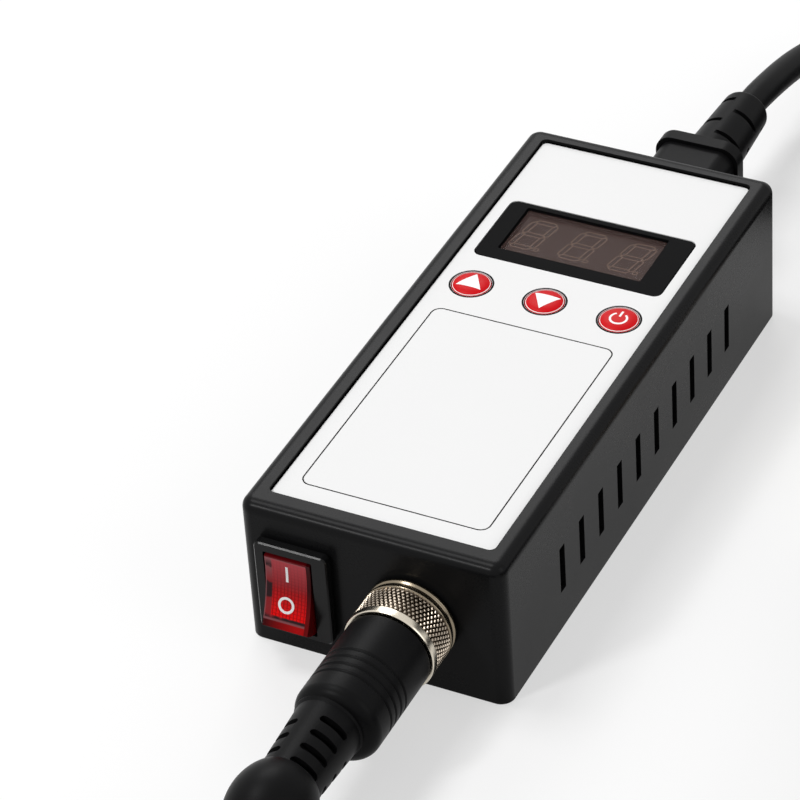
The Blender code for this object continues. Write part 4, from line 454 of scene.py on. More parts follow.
def slab(outlines, low, high, soft=0.0, steps=2):
    # a flat piece from an outline and its holes, with softened edges
    curve = bpy.data.curves.new("slab", "CURVE")
    curve.dimensions = "2D"
    curve.fill_mode = "BOTH"
    curve.extrude = (high - low) / 2 - soft
    curve.bevel_depth = soft
    curve.bevel_resolution = steps
    curve.offset = -soft
    for outline in outlines:
        spline = curve.splines.new("POLY")
        spline.points.add(len(outline) - 1)
        for point, (x, y) in zip(spline.points, outline):
            point.co = (x, y, 0, 1)
        spline.use_cyclic_u = True
    mesh = baked(helper("slab", curve))
    mesh.transform(shift(z=(low + high) / 2))
    return tidied(mesh)


def arc(x, y, radius, start, end, steps=8):
    return [
        (x + radius * math.cos(math.radians(a)), y + radius * math.sin(math.radians(a)))
        for a in np.linspace(start, end, steps + 1)
    ]


def roundedRect(width, height, corner, x=0.0, y=0.0, steps=8):
    outline = []
    for k, (sx, sy) in enumerate(((1, 1), (-1, 1), (-1, -1), (1, -1))):
        outline += arc(x + sx * (width / 2 - corner), y + sy * (height / 2 - corner),
                       corner, 90 * k, 90 * (k + 1), steps)
    return outline


def cut(mesh, tool, operation="DIFFERENCE"):
    one, two = helper("cutting", mesh), helper("cutter", tool)
    modifier = one.modifiers.new("cut", "BOOLEAN")
    modifier.operation = operation
    modifier.object = two
    result = baked(one)
    bpy.data.objects.remove(two)
    return result


def bevelled(mesh, width, steps=2, angle=35):
    obj = helper("bevelled", mesh)
    modifier = obj.modifiers.new("bevel", "BEVEL")
    modifier.width = width
    modifier.segments = steps
    modifier.angle_limit = math.radians(angle)
    modifier.use_clamp_overlap = True
    return baked(obj)


def ribbon(points, width, closed=True):
    # a flat line of the given width through points on the XY plane
    at = [Vector((x, y, 0)) for x, y in points]
    shape = bmesh.new()
    pairs = []
    for k, here in enumerate(at):
        ahead, behind = at[(k + 1) % len(at)] - here, here - at[k - 1]
        if not closed and k == 0:
            behind = ahead
        if not closed and k == len(at) - 1:
            ahead = behind
        mean = (ahead.normalized() + behind.normalized()).normalized()
        side = Vector((-mean.y, mean.x, 0)) * width / 2
        side /= max(0.4, mean.dot(ahead.normalized()))
        pairs.append((shape.verts.new(here + side), shape.verts.new(here - side)))
    joined = zip(pairs, pairs[1:] + pairs[:1]) if closed else zip(pairs, pairs[1:])
    for (a, b), (c, d) in joined:
        shape.faces.new((b, d, c, a))
    return meshOf(shape, "ribbon")


def filled(points, cuts=5):
    # a flat polygon with enough points inside to be laid on a curved face
    shape = bmesh.new()
    shape.faces.new([shape.verts.new((x, y, 0)) for x, y in points])
    bmesh.ops.triangulate(shape, faces=shape.faces[:])
    bmesh.ops.subdivide_edges(shape, edges=shape.edges[:], cuts=cuts, use_grid_fill=True)
    return meshOf(shape, "filled")


def laid(mesh, face, thickness=0.00003):
    # the flat mesh laid on a curved face, which gives a point's place, and thickened
    obj = helper("laid", mesh)
    modifier = obj.modifiers.new("thick", "SOLIDIFY")
    modifier.thickness, modifier.offset = thickness, 0.0
    mesh = baked(obj)
    for vertex in mesh.vertices:
        vertex.co = face(*vertex.co)
    return mesh


# geometry nodes: one tree repeats a mesh in a row, the other round an axis
def newTree(name, wanted):
    tree = bpy.data.node_groups.new(name, "GeometryNodeTree")
    tree.interface.new_socket("Geometry", in_out="INPUT", socket_type="NodeSocketGeometry")
    tree.interface.new_socket("Geometry", in_out="OUTPUT", socket_type="NodeSocketGeometry")
    for label, kind in wanted:
        tree.interface.new_socket(label, in_out="INPUT", socket_type="NodeSocket" + kind)
    return tree


def treeNode(tree, kind, links=(), **settings):
    node = tree.nodes.new(kind)
    for name, value in settings.items():
        setattr(node, name, value)
    for socket, source in links:
        tree.links.new(source, node.inputs[socket])
    return node


def endTree(tree, instances, start):
    real = treeNode(tree, "GeometryNodeRealizeInstances", [(0, instances)])
    painted = treeNode(tree, "GeometryNodeSetMaterial",
                       [("Geometry", real.outputs[0]), ("Material", start.outputs["Paint"])])
    treeNode(tree, "NodeGroupOutput", [(0, painted.outputs[0])])
    return tree


def makeRowTree():
    # copies of the incoming mesh in a straight row
    tree = newTree("row of copies", [("Count", "Int"), ("Step", "Vector"), ("Paint", "Material")])
    start = treeNode(tree, "NodeGroupInput")
    line = treeNode(tree, "GeometryNodeMeshLine", [
        ("Count", start.outputs["Count"]), ("Offset", start.outputs["Step"]),
    ], mode="OFFSET", count_mode="TOTAL")
    copies = treeNode(tree, "GeometryNodeInstanceOnPoints", [
        ("Points", line.outputs[0]), ("Instance", start.outputs["Geometry"]),
    ])
    return endTree(tree, copies.outputs[0], start)


def makeRingTree():
    # copies of the incoming mesh turned round Z
    tree = newTree("ring of copies", [("Count", "Int"), ("Turn", "Float"), ("Paint", "Material")])
    start = treeNode(tree, "NodeGroupInput")
    line = treeNode(tree, "GeometryNodeMeshLine", [("Count", start.outputs["Count"])],
                    mode="OFFSET", count_mode="TOTAL")
    line.inputs["Offset"].default_value = (0, 0, 0)
    index = treeNode(tree, "GeometryNodeInputIndex")
    angle = treeNode(tree, "ShaderNodeMath", [(0, index.outputs[0]), (1, start.outputs["Turn"])],
                     operation="MULTIPLY")
    turn = treeNode(tree, "ShaderNodeCombineXYZ", [("Z", angle.outputs[0])])
    copies = treeNode(tree, "GeometryNodeInstanceOnPoints", [
        ("Points", line.outputs[0]), ("Instance", start.outputs["Geometry"]),
        ("Rotation", turn.outputs[0]),
    ])
    return endTree(tree, copies.outputs[0], start)


rowTree, ringTree = makeRowTree(), makeRingTree()


def repeated(tree, mesh, **values):
    obj = helper("repeated", mesh)
    modifier = obj.modifiers.new("repeat", "NODES")
    modifier.node_group = tree
    values["Paint"] = paints["case"]  # until piece() gives its own
    for item in tree.interface.items_tree:
        if item.in_out == "INPUT" and item.name in values:
            modifier[item.identifier] = values[item.name]
    return baked(obj)


def row(mesh, count, step):
    return repeated(rowTree, mesh, Count=count, Step=step)


def around(mesh, count):
    return repeated(ringTree, mesh, Count=count, Turn=math.tau / count)


# the two cords, each one tube from end to end with its coil
cords = {
    "mains": {
        "diameter": 0.0065, "centre": (0.0620, 0.1377), "radius": 0.0390, "columns": 3,
        "layers": 2, "turns": 5.0, "entry": 90, "sense": -1, "floor": 0.0012,
        "route": [
            (0.0026, 0.1117, 0.0165), (0.0027, 0.1156, 0.01645), (0.0030, 0.1202, 0.0161),
            (0.0033, 0.1256, 0.0154), (0.0037, 0.1314, 0.0145), (0.0044, 0.1386, 0.0131),
            (0.0058, 0.1465, 0.0113), (0.0085, 0.1545, 0.0093), (0.0126, 0.1619, 0.0075),
            (0.0178, 0.1686, 0.0060), (0.0230, 0.1739, 0.0050), (0.0284, 0.1781, 0.0046),
        ],
        "ending": [
            (0.0925, 0.1803, 0.0098), (0.0996, 0.1778, 0.0076), (0.1066, 0.1742, 0.0058),
            (0.1131, 0.1699, 0.0050), (0.1187, 0.1648, 0.0061), (0.1230, 0.1592, 0.0084),
            (0.1256, 0.1539, 0.0106), (0.1267, 0.1495, 0.0120), (0.1270, 0.1467, 0.0123),
        ],
    },
    "handle": {
        "diameter": 0.0070, "centre": (0.0497, -0.1800), "radius": 0.0385, "columns": 2,
        "layers": 2, "turns": 3.25, "entry": 180, "sense": 1, "floor": 0.0012,
        "route": [
            (0.0076, -0.1310, 0.0164), (0.0076, -0.1366, 0.0161), (0.0076, -0.1416, 0.0149),
            (0.0076, -0.1466, 0.0128), (0.0076, -0.1510, 0.0106), (0.0075, -0.1552, 0.0091),
        ],
        "ending": [
            (0.0760, -0.2212, 0.0104), (0.0850, -0.2216, 0.0084), (0.0940, -0.2207, 0.0063),
            (0.1035, -0.2187, 0.0048), (0.1130, -0.2153, 0.0041), (0.1220, -0.2103, 0.0040),
            (0.1302, -0.2038, 0.0041), (0.1373, -0.1958, 0.0046), (0.1430, -0.1866, 0.0060),
            (0.1466, -0.1768, 0.0085), (0.1477, -0.1670, 0.0121), (0.1464, -0.1576, 0.0160),
            (0.1432, -0.1484, 0.0210), (0.1395, -0.1396, 0.0223), (0.1382, -0.1363, 0.0222),
        ],
    },
}

closeness = 1.03  # from one turn to the next, in diameters


def coilPoints(c):
    # turns side by side and on each other: out to in on the floor, then in to out above
    d, spacing = c["diameter"], closeness * c["diameter"]
    columns = [(c["columns"] - 1) / 2 - k for k in range(c["columns"])]
    slots = []
    for layer in range(c["layers"]):
        across = columns if layer % 2 == 0 else columns[::-1]
        slots += [(c["radius"] + k * spacing, c["floor"] + d / 2 + layer * spacing)
                  for k in across]
    width = math.radians(50)  # of the stretch in which the cord steps over to the next slot
    changes = [math.tau * (k + 1) - width * k for k in range(len(slots) - 1)]
    points = []
    total = math.tau * c["turns"]
    for theta in np.arange(0, total + 0.001, math.radians(12)):
        radius, height = slots[0]
        for k, end in enumerate(changes):
            t = min(1, max(0, (theta - end + width) / width))
            t = t * t * (3 - 2 * t)
            radius += t * (slots[k + 1][0] - slots[k][0])
            height += t * (slots[k + 1][1] - slots[k][1])
        angle = math.radians(c["entry"]) + c["sense"] * theta
        points.append((c["centre"][0] + radius * math.cos(angle),
                       c["centre"][1] + radius * math.sin(angle), height))
    return points


def smoothLine(points, step):
    knots = np.array(points)
    padded = np.vstack([2 * knots[0] - knots[1], knots, 2 * knots[-1] - knots[-2]])
    fine = []
    for a, b, c, d in zip(padded, padded[1:], padded[2:], padded[3:]):
        for t in np.linspace(0, 1, 12, endpoint=False):
            fine.append(0.5 * (2 * b + (c - a) * t + (2 * a - 5 * b + 4 * c - d) * t**2
                               + (3 * b - a - 3 * c + d) * t**3))
    fine = np.array([*fine, knots[-1]])
    for _ in range(3):  # takes out the small kinks where a route meets its coil
        fine[1:-1] = 0.25 * fine[:-2] + 0.5 * fine[1:-1] + 0.25 * fine[2:]
    run = np.concatenate([[0], np.cumsum(np.linalg.norm(np.diff(fine, axis=0), axis=1))])
    wanted = np.linspace(0, run[-1], round(run[-1] / step) + 1)
    return np.stack([np.interp(wanted, run, fine[:, k]) for k in range(3)], 1), run[-1]


def makeCord(name, c, replaced):
    line, length = smoothLine([*c["route"], *coilPoints(c), *c["ending"]], 0.0025)
    curve = bpy.data.curves.new(name, "CURVE")
    curve.dimensions = "3D"
    curve.bevel_depth = c["diameter"] / 2
    curve.bevel_resolution = 6
    curve.use_fill_caps = True
    spline = curve.splines.new("POLY")
    spline.points.add(len(line) - 1)
    for point, place in zip(spline.points, line):
        point.co = (*place, 1)
    spline.use_smooth = True
    made = helper(name, curve)
    curve.materials.append(paints["cord"])
    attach(made, body)
    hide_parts(*replaced)
    print(f"{name} is {length:.3f} m long")
    return made, round(float(length), 3)


mainsLead = makeCord("mains_lead", cords["mains"], ["mains_cord", "mains_coil", "mains_cord_end"])
handleLead = makeCord("handle_lead", cords["handle"],
                      ["handle_cable", "handle_coil", "handle_cable_end"])
print("cords laid")


# nodes that keep their CAD mesh get a finish here
carried = {
    "case": ["bottom_cover"],
    "component": ["switch_up", "switch_down", "switch_power", "triac", "plug_insert",
                  "socket_insert", "transformer"],
    "board": ["display_board", "power_board"],
    "blueSleeve": ["filter_capacitor"],
    "aluminium": ["heatsink", "fuse"],
    "white": ["handle_header"],
    "neon": ["rocker_lamp"],
    "nickel": ["panel_socket", "socket_nut", "plug_sleeve"],
    "steel": ["board_screw_1", "board_screw_2", "fan_motor"],
    "mica": ["heating_core"],
}
for paint, names in carried.items():
    for name in names:
        nodes[name].data.materials.clear()
        nodes[name].data.materials.append(paints[paint])


# the case: a moulded shell with vents through both side walls and openings for what sits in
# it, each given by its width and height
caseShell = {
    "slots": 10, "slotWidth": 0.0023, "slotHeight": 0.0107, "slotLow": 0.0088,
    "slotPitch": 0.00902, "slotFirst": -0.0414, "edge": 0.00022, "through": 0.0066,
    "display": (0.0340, 0.0176), "switch": (0.0136, 0.0200), "inlet": (0.0212, 0.0182),
    "socket": 0.0079,
}


def makeCase():
    width, length, height = case["width"], case["length"], case["height"]
    shape = bmesh.new()
    bmesh.ops.create_cube(shape, size=1.0)
    bmesh.ops.scale(shape, vec=(width, length, height), verts=shape.verts)
    bmesh.ops.translate(shape, vec=(0, 0, height / 2), verts=shape.verts)
    upright = [e for e in shape.edges if abs(e.verts[0].co.z - e.verts[1].co.z) > height / 2]
    bmesh.ops.bevel(shape, geom=upright, offset=case["corner"], segments=10, profile=0.5,
                    affect="EDGES")
    rim = [e for e in shape.edges if all(v.co.z > height - 1e-6 for v in e.verts)]
    bmesh.ops.bevel(shape, geom=rim, offset=case["fillet"], segments=8, profile=0.55,
                    affect="EDGES")
    mesh = meshOf(shape, "case")
    wall, roof = case["wall"], case["roof"]
    cavity = box((width - 2 * wall, length - 2 * wall, height - roof + 0.002),
                 (0, 0, (height - roof) / 2 - 0.001))
    mesh = cut(mesh, cavity)
    outline = roundedRect(2 * case["labelHalf"], case["labelRear"] - case["labelFront"],
                          case["labelCorner"], 0, (case["labelRear"] + case["labelFront"]) / 2)
    mesh = cut(mesh, slab([outline], case["recess"], height + 0.004))

    def hole(radius, steps):
        return lathe([(0, 0.006), (radius, 0.006), (radius, -0.006), (0, -0.006)], steps)

    def opening(size, place):
        # through the front or the rear panel
        return box((size[0], caseShell["through"], size[1]), place)

    holes = [box((*caseShell["display"], 0.012),
                 (windowFrame["mouthX"], windowFrame["mouthY"], height - 0.002))]
    holes += [moved(hole(buttons["hole"], 48), shift(x, buttons["y"], height))
              for x in buttons["places"].values()]
    holes.append(opening(caseShell["switch"], (rocker["x"], case["front"], rocker["z"])))
    holes.append(opening(caseShell["inlet"], (inlet["x"], case["rear"], inlet["z"])))
    holes.append(onSocket(hole(caseShell["socket"], 64)))
    vent = box((width + 0.01, caseShell["slotWidth"], caseShell["slotHeight"]),
               (0, caseShell["slotFirst"], caseShell["slotLow"] + caseShell["slotHeight"] / 2))
    holes.append(row(vent, caseShell["slots"], (0, caseShell["slotPitch"], 0)))
    mesh = bevelled(cut(mesh, merged("holes", holes)), caseShell["edge"], 2, 40)
    piece("case_shell", mesh, "case", body, ["top_shell"], 30)


# the label: white film with a thin black frame line; the black rings round the button holes are
# painted shade of the gaps
label = {
    "half": 0.0232, "front": -0.0617, "rear": 0.0631, "corner": 0.0010, "low": 0.0320,
    "top": 0.0324, "lineHalf": 0.0195, "lineFront": -0.0567, "lineRear": 0.00275,
    "lineCorner": 0.0020, "line": 0.00028,
}
windowFrame = {
    "width": 0.0408, "length": 0.0197, "y": 0.0319, "corner": 0.0016, "low": 0.0300,
    "mouthWidth": 0.0314, "mouthLength": 0.0150, "mouthX": -0.0008, "mouthY": 0.0330,
    "wall": 0.0010, "lip": 0.0006, "room": 0.0005, "glassLow": 0.0312, "glassTop": 0.0319,
}
buttons = {
    "places": {"up": -0.0161, "down": 0.0, "power": 0.0161}, "y": 0.0123, "radius": 0.0040,
    "hole": 0.00415, "top": 0.0329, "dome": 0.0006, "low": 0.0291, "flange": 0.00475,
    "plunger": 0.0017, "plungerLow": 0.0277, "ring": 0.00380, "highlightRingWidth": 0.00012,
    "outline": 0.00440, "gapShadeWidth": 0.00040, "edge": 0.00012, "foot": 0.0008,
    "up": ((-0.0001, 0.0030), (-0.0028, -0.0015), (0.0027, -0.0015)),
    "down": ((0, -0.0028), (0.0028, 0.0017), (-0.0028, 0.0017)),
    "powerRing": (0, -0.0002, 0.0017, 125, 415, 28), "powerBar": (0.0004, 0.0022),
    "powerLine": 0.00044,
}


def circle(x, y, radius, steps=48):
    return arc(x, y, radius, 0, 360 - 360 / steps, steps - 1)


def makeLabel():
    middle = (label["front"] + label["rear"]) / 2
    outlines = [roundedRect(2 * label["half"], label["rear"] - label["front"],
                            label["corner"], 0, middle)]
    f = windowFrame
    outlines.append(roundedRect(f["width"] + f["room"], f["length"] + f["room"],
                                f["corner"] + 0.0002, 0, f["y"]))
    outlines += [circle(x, buttons["y"], buttons["hole"]) for x in buttons["places"].values()]
    film = slab(outlines, label["low"], label["top"])
    piece("label_film", bevelled(film, 0.00006, 1), "film", body, ["face_label"])
    frameLine = roundedRect(2 * label["lineHalf"], label["lineRear"] - label["lineFront"],
                            label["lineCorner"], 0, (label["lineRear"] + label["lineFront"]) / 2)

    def onLabel(x, y, z):
        return x, y, label["top"] + z

    linesAndGapShade = [laid(ribbon(frameLine, label["line"]), onLabel)]
    # painted shade: a black ring round each button hole stands for the gap's shade
    linesAndGapShade += [laid(ribbon(circle(x, buttons["y"], buttons["outline"], 64),
                          buttons["gapShadeWidth"]), onLabel)
              for x in buttons["places"].values()]
    piece("label_line", merged("linesAndGapShade", linesAndGapShade), "ink", body)


def makeWindowFrame():
    f = windowFrame
    mouth = roundedRect(f["mouthWidth"], f["mouthLength"], 0.0004, f["mouthX"], f["mouthY"], 4)
    plate = slab([roundedRect(f["width"], f["length"], f["corner"], 0, f["y"]), mouth],
                 label["low"], label["top"])
    plate = bevelled(plate, 0.00012, 3, 50)
    skirt = [roundedRect(f["mouthWidth"] + 2 * f["wall"], f["mouthLength"] + 2 * f["wall"],
                         0.0006, f["mouthX"], f["mouthY"], 4), mouth]
    lip = [skirt[0], roundedRect(f["mouthWidth"] - 2 * f["lip"], f["mouthLength"] - 2 * f["lip"],
                                 0.0004, f["mouthX"], f["mouthY"], 4)]
    whole = merged("frame", [
        plate, slab(skirt, f["low"] + f["lip"], label["low"] - 0.00001),
        slab(lip, f["low"], f["low"] + 1.5 * f["lip"]),
    ])
    piece("window_frame", whole, "frame", body, ["window_bezel"], 40)
    glass = slab([roundedRect(f["mouthWidth"] - 0.0006, f["mouthLength"] - 0.0006, 0.0004,
                              f["mouthX"], f["mouthY"], 4)], f["glassLow"], f["glassTop"])
    piece("window_glass", bevelled(glass, 0.00015, 3), "window", body,
          ["display_window"])


# three slanted digits behind the window, unlit: each segment shows as a faint outline
digits = {
    "width": 0.0047, "height": 0.00905, "half": 0.00056, "line": 0.00030, "slant": 0.21,
    "left": -0.01560, "low": 0.02930, "pitch": 0.01090, "count": 3, "face": 0.0310,
    "dot": 0.00048, "dotX": 0.00590, "block": (0.0302, 0.0138, 0.0066), "blockZ": 0.0264,
    "faceLow": 0.0290,
}


def makeDigits():
    d, f = digits, windowFrame
    back = box(d["block"], (f["mouthX"], f["mouthY"], d["blockZ"]), 0.0003)
    front = slab([roundedRect(f["mouthWidth"] - 2 * f["lip"] - 0.0003,
                               f["mouthLength"] - 2 * f["lip"] - 0.0003, 0.0003,
                               f["mouthX"], f["mouthY"], 4)], d["faceLow"], d["face"])
    piece("digit_block", merged("digit block", [back, front]), "digits", body,
          ["led_display"])
    marks = []
    w, h, t = d["width"], d["height"] / 2, d["half"]
    places = [(w / 2, k * h, w, 0) for k in range(3)]
    places += [(x, (k + 0.5) * h, h, 90) for x in (0, w) for k in range(2)]
    for x, y, length, turn in places:
        a = length / 2 - 0.00008
        hexagon = [(-a, 0), (t - a, -t), (a - t, -t), (a, 0), (a - t, t), (t - a, t)]
        marks.append(moved(ribbon(hexagon, d["line"]), turnZ(math.radians(turn)), shift(x, y)))
    marks.append(ribbon(circle(d["dotX"], 0, d["dot"], 16), d["line"]))
    slanted = Matrix(((1, d["slant"], 0, 0), (0, 1, 0, 0), (0, 0, 1, 0), (0, 0, 0, 1)))
    digit = moved(merged("digit", marks), slanted, shift(d["left"], d["low"]))
    three = laid(row(digit, d["count"], (d["pitch"], 0, 0)),
                 lambda x, y, z: (x, y, d["face"] + 0.00002 + z), 0.00004)
    piece("digit_outlines", three, "segment", body)


# the buttons: domed caps with a white mark and a thin white ring near the rim, a painted highlight
def makeButtons():
    b = buttons

    def domeHeight(r):
        # nearly flat in the middle, it drops towards the rim
        return b["top"] - b["dome"] * (r / b["radius"]) ** 4

    soft, foot = b["edge"], b["low"] + b["foot"]
    crown = [(r, domeHeight(r)) for r in np.linspace(0, b["radius"] - soft, 14)]
    edge = [(b["radius"] - soft * (1 - math.sin(a)), crown[-1][1] - soft * (1 - math.cos(a)))
            for a in np.linspace(0.2, math.pi / 2, 5)]
    cap = crown + edge + [
        (b["radius"], foot), (b["flange"], foot),
        (b["flange"], b["low"]), (b["plunger"], b["low"]), (b["plunger"], b["plungerLow"]),
        (0, b["plungerLow"]),
    ]
    power = merged("power", [
        ribbon(arc(*b["powerRing"]), b["powerLine"], closed=False),
        ribbon([(0, y) for y in np.linspace(*b["powerBar"], 5)], b["powerLine"], closed=False),
    ])
    marks = {"up": filled(b["up"]), "down": filled(b["down"]), "power": power}
    for name, x in b["places"].items():
        rides = f"button_{name}"
        piece(f"cap_{name}", moved(lathe(cap, 72), shift(x, b["y"])), "red", rides,
              [rides])

        def onDome(px, py, pz):
            return (x + px, b["y"] + py, domeHeight(math.hypot(px, py)) + 0.00001 + pz)

        # a painted highlight on the cap's rounded edge, drawn as a thin white ring
        ring = ribbon(circle(0, 0, b["ring"], 72), b["highlightRingWidth"])
        markAndHighlightRing = merged("markAndHighlightRing", [laid(marks[name], onDome), laid(ring, onDome)])
        piece(f"cap_mark_{name}", markAndHighlightRing, "whiteInkAndHighlight", rides)


# the rocker switch: a black bezel and a red key that is pressed in at the top
rocker = {
    "x": -0.0157, "z": 0.0159, "front": -0.0694, "width": 0.0154, "height": 0.0212,
    "corner": 0.0012, "proud": 0.0021, "bodyWidth": 0.0130, "bodyHeight": 0.0194,
    "bodyDepth": 0.0170, "mouthX": -0.0163, "mouthZ": 0.0156, "mouthWidth": 0.0103,
    "mouthHeight": 0.0181, "mouthDepth": 0.0134, "pivotY": -0.0669, "swing": 12.0,
    "keyWidth": 0.0096, "keyProud": 0.0043, "keyDish": 0.0011, "keyBack": 0.0034,
    "keyReach": 0.0087, "keyEdge": 0.00028, "markX": -0.0002, "markWidth": 0.00052,
    "bar": (0.0060, 0.0025), "ringAt": (-0.0001, -0.0026), "ring": 0.00146,
    "chamfer": 0.00026, "terminal": (0.0048, 0.0090, 0.0008), "terminalY": -0.0465,
    "terminals": (-0.0066, 0.0, 0.0066), "faceLow": 0.0091, "faceHeight": 0.0148,
    "gridPitch": 0.00074, "bodyStart": 0.0015, "overlap": 0.0009,
}


def makeRockerPaint():
    # Translucent red plastic: a moulded grid shows behind the face, at its left a clear band with
    # the dark parts of the lamp's seat. Painted light on it: a painted glow, strongest low on the
    # face, a painted sheen near the top, painted highlights along the edges, painted shade on the
    # top end, and painted light and shade on the thick lower end and side.
    made = Finish("rocker red", (0.50, 0.006, 0.008), 0.20)
    made.shader.inputs["Specular IOR Level"].default_value = 0.06
    x, _, z = made.axes()
    # across and up the face, each from 0 to 1
    across = (x - rocker["mouthX"] + rocker["keyWidth"] / 2) / rocker["keyWidth"]
    up = (z - rocker["faceLow"]) / rocker["faceHeight"]
    pitch = rocker["gridPitch"]
    line = (((x / pitch).maths("FRACT") > 0.72) + ((z / pitch).maths("FRACT") > 0.72) * 0.55)
    # painted glow: bright low on the face, fading towards the top
    glow = made.ramp(up, 0.62, 0.10)
    cell = made.blend(glow, (0.30, 0.012, 0.015), (0.95, 0.003, 0.003))
    joint = made.blend(glow, (0.13, 0.005, 0.007), (0.30, 0.002, 0.003))
    grid = made.blend(line.maths("MINIMUM", 1.0) * 0.70, cell, joint)
    # painted sheen: the grid turns pale pink towards the top
    paintedSheen = made.ramp(up, 0.50, 0.98)
    grid = made.blend(paintedSheen * 0.62, grid, (0.62, 0.10, 0.12))
    seat = made.ramp((up * 14.0 + made.noise(500) * 2.0).maths("SINE"), -0.1, 0.3)
    # the clear band also takes the painted sheen towards the top
    clear = made.blend(made.ramp(up, 0.60, 0.95), (0.26, 0.020, 0.024), (0.30, 0.11, 0.12))
    band = made.blend(seat * made.ramp(up, 0.97, 0.86), clear, (0.030, 0.012, 0.014))
    inside = made.ramp(across, 0.135, 0.165) * made.ramp(up, 0.14, 0.155)
    face = made.blend(inside, band, grid)
    # painted highlights along the left, bottom and top edges of the face
    rim = made.ramp(across, 0.030, 0.012).maths("MAXIMUM", made.ramp(up, 0.118, 0.100))
    rim = rim.maths("MAXIMUM", made.ramp(up, 0.955, 0.97))
    face = made.blend(rim * 0.7, face, (0.30, 0.10, 0.11))
    # painted shade on the top end
    face = made.blend(made.ramp(up, 0.975, 0.985), face, (0.11, 0.003, 0.005))
    # painted light and shade on the lower end: dark at the left, bright red to the right
    low = made.blend(made.ramp(across, 0.05, 0.75), (0.05, 0.001, 0.002), (0.40, 0.003, 0.004))
    face = made.blend(made.ramp(up, 0.088, 0.078), face, low)
    # painted shade on the side, lighter low down where the painted glow is
    side = made.blend(made.ramp(up, 0.60, 0.25), (0.040, 0.001, 0.002), (0.15, 0.002, 0.003))
    beside = made.ramp(across, 0.905, 0.915)
    made.set(**{"Base Color": made.blend(beside, face, side)})
    return made.bump(line * inside, 0.10, 0.00004).material


def makeRocker():
    r = rocker
    bezel = slab([roundedRect(r["width"], r["height"], r["corner"], r["x"], -r["z"])], 0,
                 r["proud"], r["chamfer"], 0)
    bezel = moved(bezel, facingFront, shift(y=r["front"] + r["proud"]),
                  Matrix.Diagonal((1, 1, -1, 1)))
    bezel = tidied(bezel)
    depth = r["bodyDepth"] + r["overlap"]
    shank = box((r["bodyWidth"], depth, r["bodyHeight"]),
                (r["x"], r["front"] + r["bodyStart"] + depth / 2, r["z"]), 0.0003)
    terminals = [box(r["terminal"], (r["x"], r["terminalY"], r["z"] + z), 0.0001)
                 for z in r["terminals"]]
    housing = cut(bezel, shank, "UNION")
    mouth = box((r["mouthWidth"], r["mouthDepth"] + 0.002, r["mouthHeight"]),
                (r["mouthX"], r["front"] + r["mouthDepth"] / 2 - 0.001, r["mouthZ"]), 0.0003)
    housing = bevelled(cut(housing, mouth), 0.00012, 2, 60)
    piece("switch_housing", merged("housing", [housing, *terminals]), "bezel", body,
          ["rocker_housing"], 40)

    reach, proud = r["keyReach"], r["keyProud"]
    half = math.sqrt(reach**2 - proud**2)
    bend = (half**2 + r["keyDish"] ** 2) / (2 * r["keyDish"])

    def face(height):
        # how far out the dished face is at a height above the pivot
        return proud - r["keyDish"] + bend - math.sqrt(bend**2 - height**2)

    back = math.degrees(math.acos(r["keyBack"] / reach))
    corner = math.degrees(math.acos(proud / reach))
    outline = arc(0, 0, reach, corner, 180 - back, 12)
    outline += arc(0, 0, reach, 180 + back, 360 - corner, 12)
    outline += [(face(h), h) for h in np.linspace(-half, half, 20)[1:-1]]
    key = slab([outline], -r["keyWidth"] / 2, r["keyWidth"] / 2)
    key = bevelled(key, r["keyEdge"], 4, 60)
    outwards = Matrix(((0, 0, -1, 0), (-1, 0, 0, 0), (0, 1, 0, 0), (0, 0, 0, 1)))
    pose = (shift(r["mouthX"], r["pivotY"], r["mouthZ"])
            @ Matrix.Rotation(math.radians(-r["swing"]), 4, "X"))
    piece("switch_key", moved(key, outwards, pose), "rocker", "rocker",
          ["rocker_key"], 40)

    def onKey(x, y, z):
        return pose @ Vector((x + r["markX"], -face(y) - 0.00002 - z, y))

    bar = ribbon([(0, h) for h in np.linspace(*r["bar"], 9)], r["markWidth"], closed=False)
    ring = ribbon(circle(*r["ringAt"], r["ring"]), r["markWidth"])
    marks = merged("marks", [laid(bar, onKey), laid(ring, onKey)])
    piece("switch_marks", tidied(marks), "whiteInkAndHighlight", "rocker")


# the round plug: a knurled nut, a grooved boot and its slotted strain relief
plug = {
    "x": 0.0085, "z": 0.0164, "front": -0.0670, "nutRadius": 0.0093, "nutLow": 0.0004,
    "nutEnd": 0.0106, "bore": 0.00795, "relief": 0.00855, "reliefEnd": 0.00155,
    "lip": 0.0068, "lipLow": 0.0096, "knurlLow": 0.0031, "knurlHigh": 0.0087,
    "knurlFloor": 0.00888, "knurlRows": 7, "knurlCount": 60,
}
boot = {
    "start": 0.0109, "length": 0.0226, "radius": 0.0088, "hollow": 0.0065,
    "hollowDepth": 0.0150, "grooves": (0.0102, 0.0122, 0.0143, 0.0163), "groove": 0.00030,
    "shoulder": 0.0026, "reliefX": 0.0076, "relief": 0.00675, "reliefEnd": 0.00605,
    "reliefLength": 0.0155, "slot": 0.0015, "slotFirst": 0.0042, "slotPitch": 0.0037,
    "slotFloor": 0.0045, "slotDepth": 0.004, "slotReach": 0.46, "slotTurn": 127.0,
    "bulb": 0.0082, "bulbLength": 0.0145,
}


def onSocket(mesh):
    return moved(mesh, facingFront, shift(plug["x"], plug["front"], plug["z"]))


